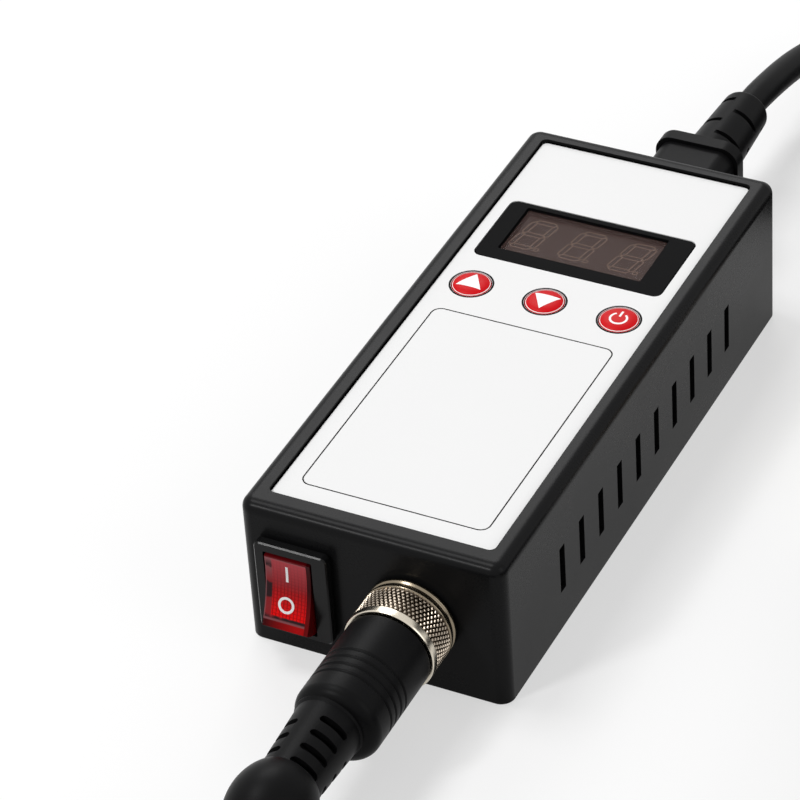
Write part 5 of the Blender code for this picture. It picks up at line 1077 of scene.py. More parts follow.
def makeKnurlPaint():
    # nickel with painted shade in the valleys of the knurl, a painted highlight on the smooth
    # outer band and painted shade on the band by the panel
    made = Finish("knurled nickel", (0.50, 0.44, 0.38), 0.2, 1.0)
    x, y, z = made.axes()
    across, up = x - plug["x"], z - plug["z"]
    radius = (across * across + up * up).maths("SQRT")
    # painted shade: dark in the valleys between the studs
    unshaded = made.ramp(radius, 0.00892, 0.00924).maths("MAXIMUM", radius < 0.0087)
    base = made.blend(unshaded, (0.060, 0.043, 0.030), (0.50, 0.43, 0.35))
    # painted highlight: the smooth outer band is lighter
    base = made.blend(y < plug["front"] - plug["knurlHigh"] - 0.0001, base, (0.66, 0.60, 0.50))
    # painted shade: the band by the panel is darker
    base = made.blend(y > plug["front"] - plug["knurlLow"] + 0.0001, base, (0.24, 0.20, 0.145))
    made.set(**{"Base Color": base})
    made.set(Roughness=0.16 + made.noise(900) * 0.10)
    return made.bump(made.noise(700, 2.0), 0.12, 0.00002).material


def makeNut():
    n = plug
    top, low, end = n["nutRadius"], n["nutLow"], n["nutEnd"]
    profile = rounded([
        (n["lip"], n["lipLow"]), (n["lip"], end), (top - 0.0001, end), (top, end - 0.0003),
        (top, n["knurlHigh"] + 0.0002), (n["knurlFloor"], n["knurlHigh"]),
        (n["knurlFloor"], n["knurlLow"]), (top, n["knurlLow"] - 0.0002),
        (top, low + 0.0018), (top - 0.00035, low + 0.0015), (top - 0.00035, low + 0.0011),
        (top, low + 0.0008), (top, low + 0.0003), (top - 0.0003, low), (n["relief"], low),
        (n["relief"], n["reliefEnd"]), (n["bore"], n["reliefEnd"]), (n["bore"], n["lipLow"]),
    ], 0.00012, 3)
    ring = lathe(profile, 128, ring=True)
    step = (n["knurlHigh"] - n["knurlLow"]) / n["knurlRows"]
    half = math.pi * top / n["knurlCount"]
    base, peak = n["knurlFloor"] - 0.00005, top - 0.00003

    def stud(place, turn):
        # small and rounded, a diamond at its foot
        shape = bmesh.new()
        rings = []
        for size, rise in ((1.0, 0.0), (0.74, 0.55), (0.42, 0.90)):
            loop = []
            for k in range(8):
                a = math.tau * k / 8
                reach = size * (0.93 if k % 2 == 0 else 0.66 + 0.10 * rise)
                loop.append(shape.verts.new((base + (peak - base) * rise,
                                             reach * half * math.cos(a),
                                             place + reach * step * math.sin(a))))
            rings.append(loop)
        for lower, upper in zip(rings, rings[1:]):
            for k in range(8):
                shape.faces.new((lower[k], lower[(k + 1) % 8], upper[(k + 1) % 8], upper[k]))
        crown = shape.verts.new((peak, 0, place))
        for k in range(8):
            shape.faces.new((rings[-1][k], rings[-1][(k + 1) % 8], crown))
        bmesh.ops.recalc_face_normals(shape, faces=shape.faces)
        return moved(meshOf(shape, "stud"), turnZ(turn))

    column = []
    for k in range(n["knurlRows"]):
        place = n["knurlLow"] + step * (k + 0.5)
        column.append(stud(place, (k % 2) * math.pi / n["knurlCount"]))
    knurl = around(merged("column", column), n["knurlCount"])
    piece("nut_ring", onSocket(merged("nut", [ring, knurl])), "knurl", "coupling_nut",
          ["coupling_nut"], 25)


def slotBar(reach, width, floor, depth, place, turn):
    # cuts a crescent slot with rounded ends in a strain relief: the outline's X runs along
    # the slot, its Y along the strain relief
    outline = roundedRect(2 * reach, width, width * 0.49, 0, place, 5)
    return moved(slab([outline], floor, floor + depth), axesRound, turnZ(turn))


def slotPairs(places, turn, reach, width, floor, depth):
    # two slots opposite each other at each place, every other pair a quarter turn on
    return merged("slots", [slotBar(reach, width, floor, depth, place,
                                    turn + side + math.pi / 2 * (k % 2))
                            for k, place in enumerate(places) for side in (0, math.pi)])


def makeBoot():
    b = boot
    start, end = b["start"], b["start"] + b["length"]
    shell = [(0, start + b["hollowDepth"]), (b["hollow"], start + b["hollowDepth"]),
             (b["hollow"], start), (b["radius"] - 0.0003, start)]
    shell += [(b["radius"] - 0.0003 + 0.0003 * math.sin(a), start + 0.0003 - 0.0003 * math.cos(a))
              for a in np.linspace(0.3, math.pi / 2, 5)]
    for place in b["grooves"]:
        for t in np.linspace(-1, 1, 9):
            sunk = b["groove"] * (0.5 + 0.5 * math.cos(math.pi * t))
            shell.append((b["radius"] - sunk, start + place + 0.00045 * t))
    shell += arc(b["radius"] - b["shoulder"], end - b["shoulder"], b["shoulder"], 0, 90, 12)
    shell.append((0, end))
    outer = lathe(shell, 96)
    tailEnd = end + b["reliefLength"]
    tail = [(0, end - b["shoulder"]), (b["relief"] + 0.0004, end - b["shoulder"]),
            (b["relief"] + 0.0004, end - 0.0002), (b["relief"], end + 0.0004),
            (b["reliefEnd"], tailEnd)]
    middle = tailEnd + b["bulbLength"] / 2
    lean = math.degrees(math.asin(b["reliefEnd"] / b["bulb"]))
    halfLength = b["bulbLength"] / 2 / math.cos(math.radians(lean))
    for a in np.linspace(180 - lean, lean, 20)[1:-1]:
        t = math.radians(a)
        tail.append((b["bulb"] * math.sin(t), middle - halfLength * math.cos(t)))
    bulbEnd = tailEnd + b["bulbLength"]
    tail += [(b["reliefEnd"] - 0.0012, bulbEnd), (0, bulbEnd)]
    relief = lathe(tail, 96)
    bars = []
    for quarter in range(4):
        odd = quarter % 2
        for k in range(4 - odd):
            place = (end + b["slotFirst"] + b["slotPitch"] * (k + 0.5 * odd))
            turn = math.radians(90 * quarter - b["slotTurn"])
            bars.append(slotBar(b["relief"] * b["slotReach"], b["slot"], b["slotFloor"],
                                b["slotDepth"], place, turn))
    relief = bevelled(cut(relief, merged("bars", bars)), 0.00030, 3, 50)
    relief = moved(relief, shift(b["reliefX"] - plug["x"]))
    whole = cut(outer, relief, "UNION")
    piece("boot_shell", onSocket(whole), "rubber", body, ["plug_boot"], 30)


# the mains inlet in the rear panel, and the moulded connector in it
inlet = {
    "x": 0.0026, "z": 0.0165, "flangeWidth": 0.0244, "flangeHeight": 0.0224, "flange": 0.0018,
    "corner": 0.0020, "bodyWidth": 0.0206, "bodyHeight": 0.0176, "depth": 0.0160,
    "noseWidth": 0.0158, "noseHeight": 0.0124, "noseDepth": 0.0108, "pin": 0.0011,
    "pins": ((-0.0050, 0.0015), (0.0050, 0.0015), (0, -0.0030)), "pinTip": -0.0015,
    "pinEnd": -0.0150, "tabLength": 0.0040, "clip": (0.0012, 0.0070, 0.0032),
    "clipZ": -0.0046, "clipTurn": 12.0, "gap": 0.0003, "noseCorner": 0.0025,
}
connector = {
    "face": 0.0021, "width": 0.0170, "height": 0.0164, "length": 0.0145, "corner": 0.0035,
    "gripWidth": 0.0188, "gripHeight": 0.0182, "grip": 0.0030, "soft": 0.0007,
    "relief": 0.0063, "reliefEnd": 0.0051, "reliefLength": 0.0247, "slotFloor": 0.0043,
    "slots": (0.0068, 0.0118, 0.0161, 0.0208), "slot": 0.0013, "slotDepth": 0.004,
    "slotReach": 0.74, "slotTurn": -45,
}


def onRear(mesh):
    return moved(mesh, facingRear, shift(inlet["x"], case["rear"], inlet["z"]))


def makeInlet():
    n, gap = inlet, inlet["gap"]
    flange = slab([roundedRect(n["flangeWidth"], n["flangeHeight"], n["corner"])], gap,
                  n["flange"])
    flange = bevelled(flange, 0.0003, 3)
    shank = slab([roundedRect(n["bodyWidth"], n["bodyHeight"], 0.0010)], -n["depth"],
                 n["flange"] / 2)
    clips = [moved(box(n["clip"], (0, 0, n["clipZ"]), 0.0003, 2,
                       Matrix.Rotation(math.radians(-n["clipTurn"] * side), 4, "Y")),
                   shift(side * (n["bodyWidth"] / 2 - 0.0005)))
             for side in (-1, 1)]
    shell = cut(cut(flange, shank, "UNION"), merged("clips", clips), "UNION")
    recess = slab([roundedRect(n["noseWidth"] + 2 * gap, n["noseHeight"] + 2 * gap,
                               n["noseCorner"] + gap)], -n["noseDepth"] - gap, 0.01)
    shell = bevelled(cut(shell, recess), 0.00015, 2, 60)
    piece("inlet_shell", onRear(shell), "bezel", body, ["mains_inlet"], 40)
    tail = n["depth"] + n["tabLength"]
    radius, tip, end = n["pin"], n["pinTip"], n["pinEnd"]
    pin = [(0, tip), (radius - 0.0004, tip), (radius, tip - 0.0007), (radius, end),
           (radius - 0.0003, end - 0.0003), (radius - 0.0003, -tail + 0.0003),
           (radius - 0.0005, -tail), (0, -tail)]
    pins = [moved(lathe(pin, 20), shift(x, y)) for x, y in n["pins"]]
    piece("inlet_pins", onRear(merged("pins", pins)), "nickel", body)


def makeConnector():
    c, n = connector, inlet
    grip = c["face"] + c["length"]
    relief = grip + c["grip"]
    shell = slab([roundedRect(c["width"], c["height"], c["corner"])], c["face"], grip)
    shell = bevelled(shell, c["soft"], 4)
    flange = slab([roundedRect(c["gripWidth"], c["gripHeight"], c["corner"] + 0.0004)],
                  grip - 0.0001, relief)
    flange = bevelled(flange, 0.0009, 5)
    nose = slab([roundedRect(n["noseWidth"], n["noseHeight"], n["noseCorner"])], -n["noseDepth"],
                c["face"] + 0.0010)
    shell = cut(cut(shell, flange, "UNION"), bevelled(nose, 0.0003, 2, 60), "UNION")
    end = relief + c["reliefLength"]
    softEnd = arc(c["reliefEnd"] - 0.0009, end - 0.0011, 0.0010, 0, 90, 8)
    tail = lathe([(0, relief - 0.0012), (c["relief"], relief - 0.0012), (c["relief"], relief),
                  *softEnd, (0, end - 0.0001)], 72)
    slots = slotPairs([relief + place for place in c["slots"]], math.radians(c["slotTurn"]),
                      c["relief"] * c["slotReach"], c["slot"], c["slotFloor"], c["slotDepth"])
    tail = bevelled(cut(tail, slots), 0.00016, 2, 50)
    shell = cut(shell, tail, "UNION")
    bores = [moved(lathe([(0, -0.02), (n["pin"] + 0.0003, -0.02), (n["pin"] + 0.0003, -0.0008),
                          (0, -0.0008)], 24), shift(x, y)) for x, y in n["pins"]]
    piece("lead_connector", onRear(cut(shell, merged("bores", bores))), "rubber", body,
          ["mains_connector"], 35)


# the plug at the lead's far end, lying on the surface
wallPlug = {
    "place": (0.1270, 0.1460, 0.0123), "width": 0.0260, "height": 0.0240, "corner": 0.0050,
    "start": 0.0220, "end": 0.0540, "soft": 0.0014, "bladeWidth": 0.0063, "blade": 0.0015,
    "bladeLength": 0.0170, "bladeGap": 0.0127, "bladeLift": 0.0030, "pin": 0.0024,
    "pinLength": 0.0200, "pinDrop": 0.0075, "seat": 0.0060, "bladeCorner": 0.0011,
    "hole": 0.0015, "holeBack": 0.0033, "rib": (0.0016, 0.0150, 0.0016), "ribs": 5,
    "ribFirst": 0.0075, "ribPitch": 0.0036, "reliefAt": (0.0012, 0.0155, 0.0195, 0.0220),
    "relief": (0.0044, 0.0060, 0.0079, 0.0084), "slots": 4, "slotPitch": 0.0034,
    "slotReach": 0.0042, "slot": 0.0012, "slotFloor": 0.0035, "slotDepth": 0.006,
}


def makeWallPlug():
    w = wallPlug
    put = Matrix.Translation(w["place"]) @ facingFront
    shell = slab([roundedRect(w["width"], w["height"], w["corner"], steps=10)], w["start"],
                 w["end"])
    shell = bevelled(shell, w["soft"], 5)
    ribs = []
    for side in (-1, 1):
        rib = box(w["rib"], (side * w["width"] / 2, 0, w["start"] + w["ribFirst"]), 0.0006, 3)
        ribs.append(row(rib, w["ribs"], (0, 0, w["ribPitch"])))
    shell = cut(shell, merged("ribs", ribs))
    tail = [(0, w["start"] + 0.0030), (0.0085, w["start"] + 0.0030)]
    first = w["reliefAt"][0]
    tail += [(r, h) for h, r in zip(np.linspace(w["start"] - 0.0002, first, 22), np.interp(
        np.linspace(w["start"], first, 22), w["reliefAt"], w["relief"]))]
    tail += [(0.0042, 0.0003), (0.0038, 0), (0, 0)]
    relief = lathe(tail, 72)
    slots = slotPairs([w["slotPitch"] * (k + 1) for k in range(w["slots"])], 0, w["slotReach"],
                      w["slot"], w["slotFloor"], w["slotDepth"])
    relief = bevelled(cut(relief, slots), 0.00015, 2, 50)
    piece("plug_moulding", moved(cut(shell, relief, "UNION"), put), "rubber", body,
          ["wall_plug"], 35)
    low = w["end"] - w["seat"]
    tip = w["end"] + w["bladeLength"]
    blades = []
    for side in (-1, 1):
        outline = roundedRect(w["bladeWidth"], tip - low, w["bladeCorner"], 0, (tip + low) / 2, 4)
        hole = circle(0, tip - w["holeBack"], w["hole"], 24)
        blade = bevelled(slab([outline, hole], -w["blade"] / 2, w["blade"] / 2), 0.0003, 2, 50)
        blades.append(moved(blade, axesRound, shift(side * w["bladeGap"] / 2, w["bladeLift"])))
    end = w["end"] + w["pinLength"]
    dome = arc(0, end - w["pin"], w["pin"], 0, 90, 10)
    pin = lathe([(0, low), (w["pin"], low), *dome], 40)
    blades.append(moved(pin, shift(y=-w["pinDrop"])))
    piece("plug_blades", moved(merged("blades", blades), put), "brass", body)


# the straps round the two coils, each closed by its own overlapping end
strap = {
    "thick": 0.0008, "wide": 0.0090, "gap": 0.0003, "angles": {"mains": -90, "handle": 45},
    "flap": 0.5, "flapAt": 0.12, "flapCorner": 0.0040,
}


def makeStraps():
    thick, wide, gap = strap["thick"], strap["wide"], strap["gap"]
    for name, angle in strap["angles"].items():
        c = cords[name]
        d = c["diameter"]
        half = d * (1 + closeness * (c["columns"] - 1)) / 2
        low, high = c["floor"], c["floor"] + d * (1 + closeness * (c["layers"] - 1))
        bow = wide**2 / 8 / (c["radius"] - half)
        width, height, soft = 2 * (half + gap) + bow, high - low + 2 * gap, d / 4
        inner = roundedRect(width, height, soft, 0, 0, 8)
        outer = roundedRect(width + 2 * thick, height + 2 * thick, soft + thick, 0, 0, 8)
        loop = bevelled(slab([outer, inner], -wide / 2, wide / 2), 0.00025, 3, 60)
        flap = slab([roundedRect(strap["flap"] * width, wide, strap["flapCorner"],
                                 strap["flapAt"] * width, 0, 6)],
                    height / 2 + thick - 0.0001, height / 2 + 2 * thick - 0.0001)
        flap = moved(bevelled(flap, 0.00025, 3, 50), facingRear)
        ring = merged("strap", [loop, tidied(flap)])
        ring = moved(ring, facingFront, shift(c["radius"] - bow / 2, 0, (low + high) / 2),
                     turnZ(math.radians(angle)), shift(*c["centre"]))
        piece(f"{name}_strap", ring, "strap", body, [f"{name}_coil_tie"], 35)


# the handle's two shells, with grip grooves between the screws
def shellLine(shrink, low, high):
    h = handle
    line = [(h["tailRadius"], 0.0), (h["headRadius"], h["headStart"]),
            (h["headRadius"], h["headEnd"])]
    drop, reach = h["headRadius"] - h["gripRadius"], h["gripStart"] - h["headEnd"]
    line += [(h["gripRadius"] + drop * (0.5 + 0.5 * math.cos(math.pi * t)),
              h["headEnd"] + reach * t) for t in np.linspace(0, 1, 19)[1:]]
    middle = (h["gripStart"] + h["gripEnd"]) / 2
    for t in np.linspace(-1, 1, 97)[1:]:
        place = middle + t * (h["gripEnd"] - h["gripStart"]) / 2
        radius = h["gripRadius"] - h["waist"] * (1 - t * t)
        ripple = max(0.0, math.cos(math.tau * (place - middle) / h["groovePitch"])) ** 3
        if abs(place - middle) < h["grooved"] and not shrink:
            radius -= h["groove"] * ripple
        line.append((radius, place))
    line += [(h["gripRadius"] + (h["neckRadius"] - h["gripRadius"]) * (0.5 - 0.5
              * math.cos(math.pi * t)), h["gripEnd"] + (h["neckStart"] - h["gripEnd"]) * t)
             for t in np.linspace(0, 1, 9)[1:]]
    line.append((h["neckRadius"], h["end"]))
    radii, heights = zip(*line)
    inside = [(r - shrink, at) for r, at in line if low < at < high]
    ends = [(float(np.interp(at, heights, radii)) - shrink, at) for at in (low, high)]
    return [ends[0], *inside, ends[1]]


handleScrew = {
    "shank": 0.0011, "head": 0.0021, "tip": 0.0070, "sunk": 0.0005, "under": 0.0020,
    "turns": 24, "threadHigh": 0.0064, "pitch": 0.0005, "thread": 0.0002, "cross": 0.0022,
    "crossWidth": 0.0006, "crossDepth": 0.0020,
}


def handleScrewMesh(place, room=0.0):
    # from its tip to its head, which is sunk in the right shell
    s = handleScrew
    r, head, tip = s["shank"] + room, s["head"] + room, s["tip"] + room
    under = -handle["gripRadius"] + s["under"] + room
    headTop = -handle["gripRadius"] + s["sunk"]
    if room:
        return moved(lathe([(0, tip), (r, tip), (r, under), (head, under),
                            (head, headTop - 0.0100), (0, headTop - 0.0100)], 32),
                     facingRear, shift(z=place))
    turns = []
    for k in range(s["turns"]):
        at = s["threadHigh"] - s["pitch"] * k
        turns += [(r, at), (r - s["thread"], at - s["pitch"] / 2)]
    profile = [(0, tip), (r - 0.0005, tip), *turns, (r, under), (head, under),
               (head, headTop + 0.0003), (head - 0.0003, headTop), (0, headTop)]
    mesh = lathe(profile, 32)
    cross = cut(box((s["cross"], s["crossWidth"], s["crossDepth"]), (0, 0, headTop)),
                box((s["crossWidth"], s["cross"], s["crossDepth"]), (0, 0, headTop)), "UNION")
    return moved(cut(mesh, cross), facingRear, shift(z=place))


def makeShells():
    h = handle
    stop = h["end"] - 0.0015
    bore = h["barrelRadius"] + h["gap"]
    outside = shellLine(0, 0.0006, h["end"] - 0.0005)
    outside = [(h["tailRadius"] - 0.0005, 0.0), *outside, (h["neckRadius"] - 0.0005, h["end"])]
    inside = shellLine(h["wall"], 0, stop)
    for side, sign in (("left", 1), ("right", -1)):
        half = lathe(outside + [(bore, h["end"]), (bore, stop)] + inside[::-1], 96, ring=True)
        bosses = [moved(lathe([(0, h["gap"]), (h["boss"], h["gap"]),
                               (h["boss"], h["gripRadius"] - 0.0010),
                               (0, h["gripRadius"] - 0.0010)], 32),
                        facingRear if sign > 0 else facingFront, shift(z=place))
                  for place in h["screws"]]
        half = cut(half, merged("bosses", bosses), "UNION")
        reach = 2 * h["headRadius"]
        half = cut(half, box((2 * reach, reach, 0.160),
                             (0, sign * (h["gap"] / 2 - reach / 2), 0.070)))
        holes = merged("holes", [handleScrewMesh(place, h["gap"]) for place in h["screws"]])
        half = cut(half, holes)
        piece(f"grip_{side}", moved(half, alongHandle), "handle", body,
              [f"handle_shell_{side}"], 35)
    screws = merged("screws", [handleScrewMesh(place) for place in h["screws"]])
    piece("grip_screws", moved(screws, alongHandle), "steel", body,
          ["handle_screw_1", "handle_screw_2"], 35)


# the grille and the cable's gland at the handle's tail
rearEnd = {
    "grille": 0.0030, "bore": 0.0061, "slotInner": 0.0080, "slotOuter": 0.0150, "slots": 12,
    "slot": 0.0016, "gland": 0.0058, "glandEnd": 0.0045, "glandLength": 0.0230,
    "glandSlot": 0.0012, "glandSlots": 4, "glandPitch": 0.0036, "glandReach": 0.0040,
    "glandDepth": 0.0010,
}


def makeTail():
    t, gap = rearEnd, handle["gap"]
    low, radius = -t["grille"] - gap, handle["tailRadius"]
    rim = arc(radius - 0.0012, low + 0.0012, 0.0012, -90, 0, 8)
    ring = lathe([(t["bore"], low), *rim, (radius, -gap), (t["bore"], -gap)], 96, ring=True)
    outline = roundedRect(t["slotOuter"] - t["slotInner"], t["slot"], t["slot"] * 0.49,
                          (t["slotOuter"] + t["slotInner"]) / 2, 0, 6)
    slots = around(slab([outline], -0.0080, 0.0050), t["slots"])
    grille = bevelled(cut(ring, slots), 0.00018, 2, 60)
    piece("tail_grille", moved(grille, alongHandle), "handle", body,
          ["handle_grille"], 35)
    end = -t["glandLength"]
    sleeve = [(0, 0.0020), (t["gland"] + 0.0016, 0.0020), (t["gland"] + 0.0016, 0),
              (t["gland"], 0), (t["gland"], low - 0.0012)]
    sleeve += [(t["glandEnd"] + (t["gland"] - t["glandEnd"]) * (1 - k / 12),
                low - 0.0012 + (end + 0.0008 - low + 0.0012) * k / 12) for k in range(1, 13)]
    sleeve += [(t["glandEnd"] - 0.0003, end + 0.0002), (t["glandEnd"] - 0.0007, end), (0, end)]
    slots = slotPairs([end + t["glandPitch"] * (k + 1) for k in range(t["glandSlots"])], 0,
                      t["glandReach"], t["glandSlot"], t["glandEnd"] - t["glandDepth"], 0.004)
    gland = bevelled(cut(lathe(sleeve, 72), slots), 0.00015, 2, 50)
    piece("tail_gland", moved(gland, alongHandle), "rubber", body, ["handle_gland"],
          35)


# the blower's wheel in the handle's tail
rotor = {
    "start": 0.0080, "length": 0.0130, "radius": 0.0155, "hub": 0.0060, "bore": 0.00135,
    "blades": 9, "blade": 0.0009, "lean": 28.0,
}


def makeRotor():
    r = rotor
    hub = lathe([(r["bore"], r["length"]), (r["hub"] - 0.0003, r["length"]),
                 (r["hub"], r["length"] - 0.0003), (r["hub"], 0.0016),
                 *arc(r["hub"] - 0.0014, 0.0014, 0.0014, 0, -90, 8), (r["bore"], 0)], 64,
                ring=True)
    # the blade's section runs along the axis, bowed a little, and is drawn out to the rim
    rise, slope = r["length"] - 0.0020, math.tan(math.radians(r["lean"]))
    centre = [(-slope * (k / 10 - 0.5) * rise + 0.0005 * math.sin(math.pi * k / 10),
               0.0010 + rise * k / 10) for k in range(11)]
    half = r["blade"] / 2
    section = [(y + half, z) for y, z in centre] + [(y - half, z) for y, z in centre[::-1]]
    blade = bevelled(slab([section], r["hub"] - 0.0010, r["radius"] - 0.0003), 0.00018, 2, 60)
    blades = around(moved(blade, axesRound), r["blades"])
    wheel = moved(merged("rotor", [hub, blades]), shift(z=r["start"]), alongHandle)
    piece("rotor_wheel", wheel, "component", "fan_rotor", ["fan_rotor"], 35)


# the collar, the drilled barrel and the clamped nozzle
heater = {
    "collarStart": 0.1263, "collarLength": 0.0080, "bore": 0.0113, "collarLow": 0.0130,
    "collarHigh": 0.0141, "wall": 0.0008, "ports": 8, "port": 0.0012, "portRow": 0.1403,
    "beads": (0.1480, 0.1700), "bead": 0.00025, "clampStart": 0.1750, "clampWall": 0.0011,
    "shoulder": 0.0094, "nozzleLength": 0.0330, "tip": 0.0045, "tipLength": 0.0080,
    "ear": 0.0060, "earThickness": 0.0012, "slit": 0.0010, "screw": 0.0014, "head": 0.0021,
    "earStart": 0.0015, "earLength": 0.0080, "earCorner": 0.0016, "turns": 12, "pitch": 0.0005,
    "thread": 0.0002, "slot": (0.0007, 0.006, 0.0014),
}


def makeBarrel():
    q, h = heater, handle
    end = q["collarStart"] + q["collarLength"]
    collar = rounded([
        (q["bore"], q["collarStart"]), (q["collarHigh"], q["collarStart"]),
        (q["collarHigh"], q["collarStart"] + 0.0010), (q["collarHigh"] - 0.0001,
                                                       q["collarStart"] + 0.0018),
        (q["collarHigh"] - 0.0005, q["collarStart"] + 0.0021),
        (q["collarHigh"] - 0.0004, q["collarStart"] + 0.0030),
        (q["collarLow"] + 0.0001, end - 0.0014), (q["collarLow"], end), (q["bore"], end),
    ], 0.00025, 3)
    piece("heat_collar", moved(lathe(collar, 96, ring=True), alongHandle), "steel", body,
          ["heater_collar"], 30)
    outer, inner = h["barrelRadius"], h["barrelRadius"] - q["wall"]
    outside = [(outer, h["barrelStart"])]
    for place in q["beads"]:
        outside += [(outer + q["bead"] * (0.5 + 0.5 * math.cos(math.pi * t)),
                     place + 0.0011 * t) for t in np.linspace(-1, 1, 11)]
    outside += [(outer, h["barrelEnd"] - 0.0002), (outer - 0.0002, h["barrelEnd"])]
    tube = lathe(outside + [(inner, h["barrelEnd"]), (inner, h["barrelStart"])], 112,
                 ring=True)
    drill = lathe([(0, -0.0010), (q["port"], -0.0010), (q["port"], 0.022), (0, 0.022)], 24)
    drill = moved(drill, facingRight, shift(x=0.0040))
    bores = moved(around(drill, q["ports"]), shift(z=q["portRow"]))
    tube = bevelled(cut(tube, bores), 0.00012, 2, 50)
    piece("heat_barrel", moved(tube, alongHandle), "barrel", body,
          ["heater_barrel"], 30)


def makeNozzle():
    q = heater
    start, clamp = q["clampStart"], handle["clampRadius"]
    shoulder, tip = handle["barrelEnd"] + handle["gap"], q["clampStart"] + q["nozzleLength"]
    low = tip - q["tipLength"]
    cone = [(q["tip"] + (q["shoulder"] - q["tip"]) * (0.5 + 0.5 * math.cos(math.pi * t)),
             shoulder + q["clampWall"] + (low - shoulder - q["clampWall"]) * t)
            for t in np.linspace(0, 1, 17)]
    outside = [(clamp - 0.0002, start), (clamp, start + 0.0002), (clamp, shoulder - 0.0003),
               (clamp - 0.0004, shoulder + 0.0002), (q["shoulder"] + 0.0006, shoulder + 0.0010),
               *cone, (q["tip"], tip - 0.0002), (q["tip"] - 0.0002, tip)]
    thin = q["wall"]
    inside = [(q["tip"] - thin, tip), (q["tip"] - thin, low)]
    inside += [(r - thin, at - 0.0002) for r, at in cone[::-1] if at - 0.0002 > shoulder + 0.0004]
    inside += [(q["shoulder"] - thin, shoulder), (q["bore"], shoulder), (q["bore"], start)]
    shell = lathe(outside + inside, 96, ring=True)
    earLow, earLength = start + q["earStart"], q["earLength"]
    height = clamp + 0.0003 + q["head"]
    ears = []
    standing = Matrix(((0, 0, 1, 0), (0, 1, 0, 0), (1, 0, 0, 0), (0, 0, 0, 1)))
    for side in (-1, 1):
        outline = roundedRect(earLength, q["ear"] + 0.0010, q["earCorner"],
                              earLow + earLength / 2, (q["bore"] + clamp + q["ear"]) / 2, 6)
        ear = slab([outline], -q["earThickness"] / 2, q["earThickness"] / 2)
        ears.append(moved(ear, standing, shift(side * (q["slit"] + q["earThickness"]) / 2)))
    shell = cut(shell, tidied(merged("ears", ears)), "UNION")
    shell = cut(shell, box((q["slit"], 2 * q["ear"], 0.0110),
                           (0, q["bore"] + q["ear"] / 2, start + 0.0045)))
    middle = earLow + earLength / 2
    drill = lathe([(0, -0.006), (q["screw"] + 0.0003, -0.006), (q["screw"] + 0.0003, 0.006),
                   (0, 0.006)], 32)
    drill = moved(drill, facingRight, shift(0, height, middle))
    shell = bevelled(cut(shell, drill), 0.00012, 2, 50)
    piece("nozzle_shell", moved(shell, alongHandle), "nozzle", body, ["nozzle"], 30)
    out = q["slit"] / 2 + q["earThickness"] + 0.0003
    turns = []
    for k in range(q["turns"]):
        at = out - q["pitch"] * k
        turns += [(q["screw"], at), (q["screw"] - q["thread"], at - q["pitch"] / 2)]
    turns = [point for point in turns if point[1] > -out - 0.0016]
    screw = lathe([(0, out + 0.0018), (q["head"] - 0.0004, out + 0.0018),
                   (q["head"], out + 0.0014), (q["head"], out), *turns,
                   (q["screw"] - 0.0004, -out - 0.0020), (0, -out - 0.0020)], 40)
    screw = cut(screw, box(q["slot"], (0, 0, out + 0.0018)))
    screw = moved(screw, facingRight, shift(0, height, middle), alongHandle)
    piece("clamp_screw", screw, "steel", body, ["nozzle_screw"], 35)


# the cover's screws: cross recess, cone head and threaded shank
coverScrew = {
    "head": 0.0026, "shank": 0.0013, "neck": 0.0016, "threadLow": 0.0022, "threadHigh": 0.0116,
    "tip": 0.0120, "pitch": 0.0006, "cross": 0.0030, "crossWidth": 0.0006,
    "crossDepth": 0.0016, "x": 0.0221, "y": (-0.0460, 0.0616),
}


def makeScrews():
    s = coverScrew
    turns = []
    at = s["threadLow"]
    while at + s["pitch"] < s["threadHigh"]:
        turns += [(s["shank"] - 0.0002, at), (s["shank"], at + s["pitch"] / 2)]
        at += s["pitch"]
    blank = lathe([(0, 0.0003), (s["head"], 0.0003), (s["shank"], s["neck"]), *turns,
                   (0.0006, s["tip"]), (0, s["tip"])], 32)
    bars = [box((*size, s["crossDepth"]), (0, 0, 0.0006))
            for size in ((s["cross"], s["crossWidth"]), (s["crossWidth"], s["cross"]))]
    screw = cut(blank, cut(*bars, "UNION"))
    places = [(x, y) for x in (-s["x"], s["x"]) for y in s["y"]]
    piece("cover_screws", merged("screws", [moved(screw.copy(), shift(x, y))
                                            for x, y in places]),
          "steel", body, [f"cover_screw_{k}" for k in range(1, 5)], 35)


makeCase()
print("case made")
makeLabel()
makeWindowFrame()
makeDigits()
makeButtons()
print("keypad made")
paints["rocker"] = makeRockerPaint()
makeRocker()
print("switch made")
paints["knurl"] = makeKnurlPaint()
makeNut()
makeBoot()
print("round plug made")
makeInlet()
makeConnector()
makeWallPlug()
makeStraps()
print("mains side made")
makeShells()
makeTail()
makeRotor()
makeBarrel()
makeNozzle()
print("handle made")
makeScrews()
print("screws made")


# declareCord is given each cord's length and what it carries, and does nothing with them
def declareCord(made, length, c, farEnd, carries):
    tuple(c["route"][0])


declareCord(*mainsLead, cords["mains"], "plug", ["plug_moulding", "plug_blades", "mains_strap"])
declareCord(*handleLead, cords["handle"], "tool", ["tail_gland", "handle_strap"])


# floor, background and light
stage = {"size": 6.0, "drop": 0.0002, "light": 0.40, "background": 1.0, "floorGlow": 0.55}


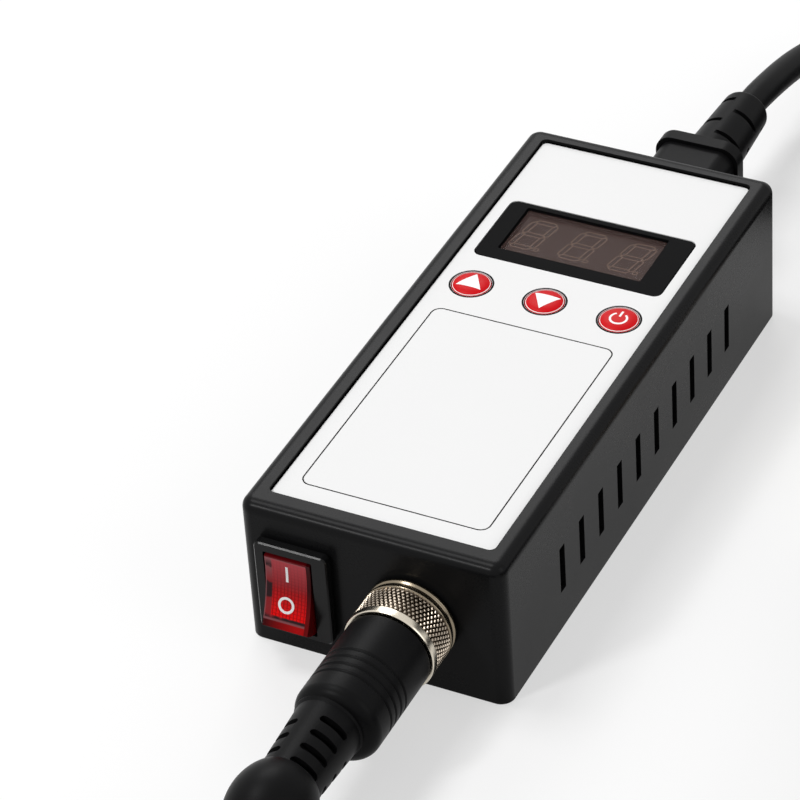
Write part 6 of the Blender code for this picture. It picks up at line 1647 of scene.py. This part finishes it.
def makeStage():
    shape = bmesh.new()
    bmesh.ops.create_grid(shape, x_segments=1, y_segments=1, size=stage["size"])
    floor = helper("floor", meshOf(shape, "floor"))
    floor.location.z = -stage["drop"]
    floor.data.materials.append(makeFloorPaint())
    world = bpy.data.worlds.new("studio")
    bpy.context.scene.world = world
    world.use_nodes = True
    tree = world.node_tree
    tree.nodes.clear()
    path = tree.nodes.new("ShaderNodeLightPath")
    mix = tree.nodes.new("ShaderNodeMixShader")
    seen = path.outputs["Is Camera Ray"]
    for name in ("Is Glossy Ray", "Is Transmission Ray"):
        both = tree.nodes.new("ShaderNodeMath")
        both.operation = "MAXIMUM"
        tree.links.new(seen, both.inputs[0])
        tree.links.new(path.outputs[name], both.inputs[1])
        seen = both.outputs[0]
    tree.links.new(seen, mix.inputs[0])
    for k, strength in enumerate((stage["light"], stage["background"])):
        shade = tree.nodes.new("ShaderNodeBackground")
        shade.inputs["Color"].default_value = (1, 1, 1, 1)
        shade.inputs["Strength"].default_value = strength
        tree.links.new(shade.outputs[0], mix.inputs[k + 1])
    tree.links.new(mix.outputs[0], tree.nodes.new("ShaderNodeOutputWorld").inputs[0])


def makeFloorPaint():
    # white to the camera and in reflections, with the object's own soft shadow kept; it throws
    # less light back at the object than a white floor would
    made = Finish("floor", (0.9, 0.9, 0.9), 0.8)
    made.shader.inputs["Specular IOR Level"].default_value = 0.0
    rays = made.add("LightPath", {}).socket.node.outputs
    seen = Wire(made, rays["Is Camera Ray"])
    for name in ("Is Glossy Ray", "Is Transmission Ray"):
        seen = seen.maths("MAXIMUM", Wire(made, rays[name]))
    made.set(**{"Base Color": made.blend(seen, (0.5, 0.5, 0.5), (0.92, 0.92, 0.92))})
    glow = made.add("Emission", {}, Color=(1, 1, 1, 1), Strength=1.0)
    shader = Wire(made, made.shader.outputs[0])
    mixed = made.add("MixShader", {}, seen * stage["floorGlow"], shader, glow)
    output = made.tree.nodes["Material Output"]
    made.feed(output.inputs[0], mixed)
    return made.material


lamps = [
    # name, place, aim, width, height, watts
    ("overhead", (-0.82, 0.05, 2.05), (0, 0, 0), 0.8, 0.8, 16.5),
    ("frontEdge", (-0.91, -1.49, 1.62), (0, 0, 0.02), 0.34, 0.34, 17.0),
    ("rearSheen", (-0.90, 1.60, 1.54), (0, 0, 0.02), 1.1, 0.8, 14.0),
    ("rightSoft", (2.00, -0.20, 1.20), (0.02, 0, 0.01), 1.1, 1.4, 7.0),
]


def makeLamps():
    for name, place, aim, width, height, watts in lamps:
        data = bpy.data.lights.new(name, "AREA")
        data.shape = "RECTANGLE"
        data.size, data.size_y, data.energy = width, height, watts
        lamp = helper(name, data)
        towards = Vector(aim) - Vector(place)
        lamp.matrix_world = (Matrix.Translation(place)
                             @ towards.to_track_quat("-Z", "Y").to_matrix().to_4x4())


makeStage()
makeLamps()
bpy.context.scene.view_settings.view_transform = "Standard"
print("stage set")
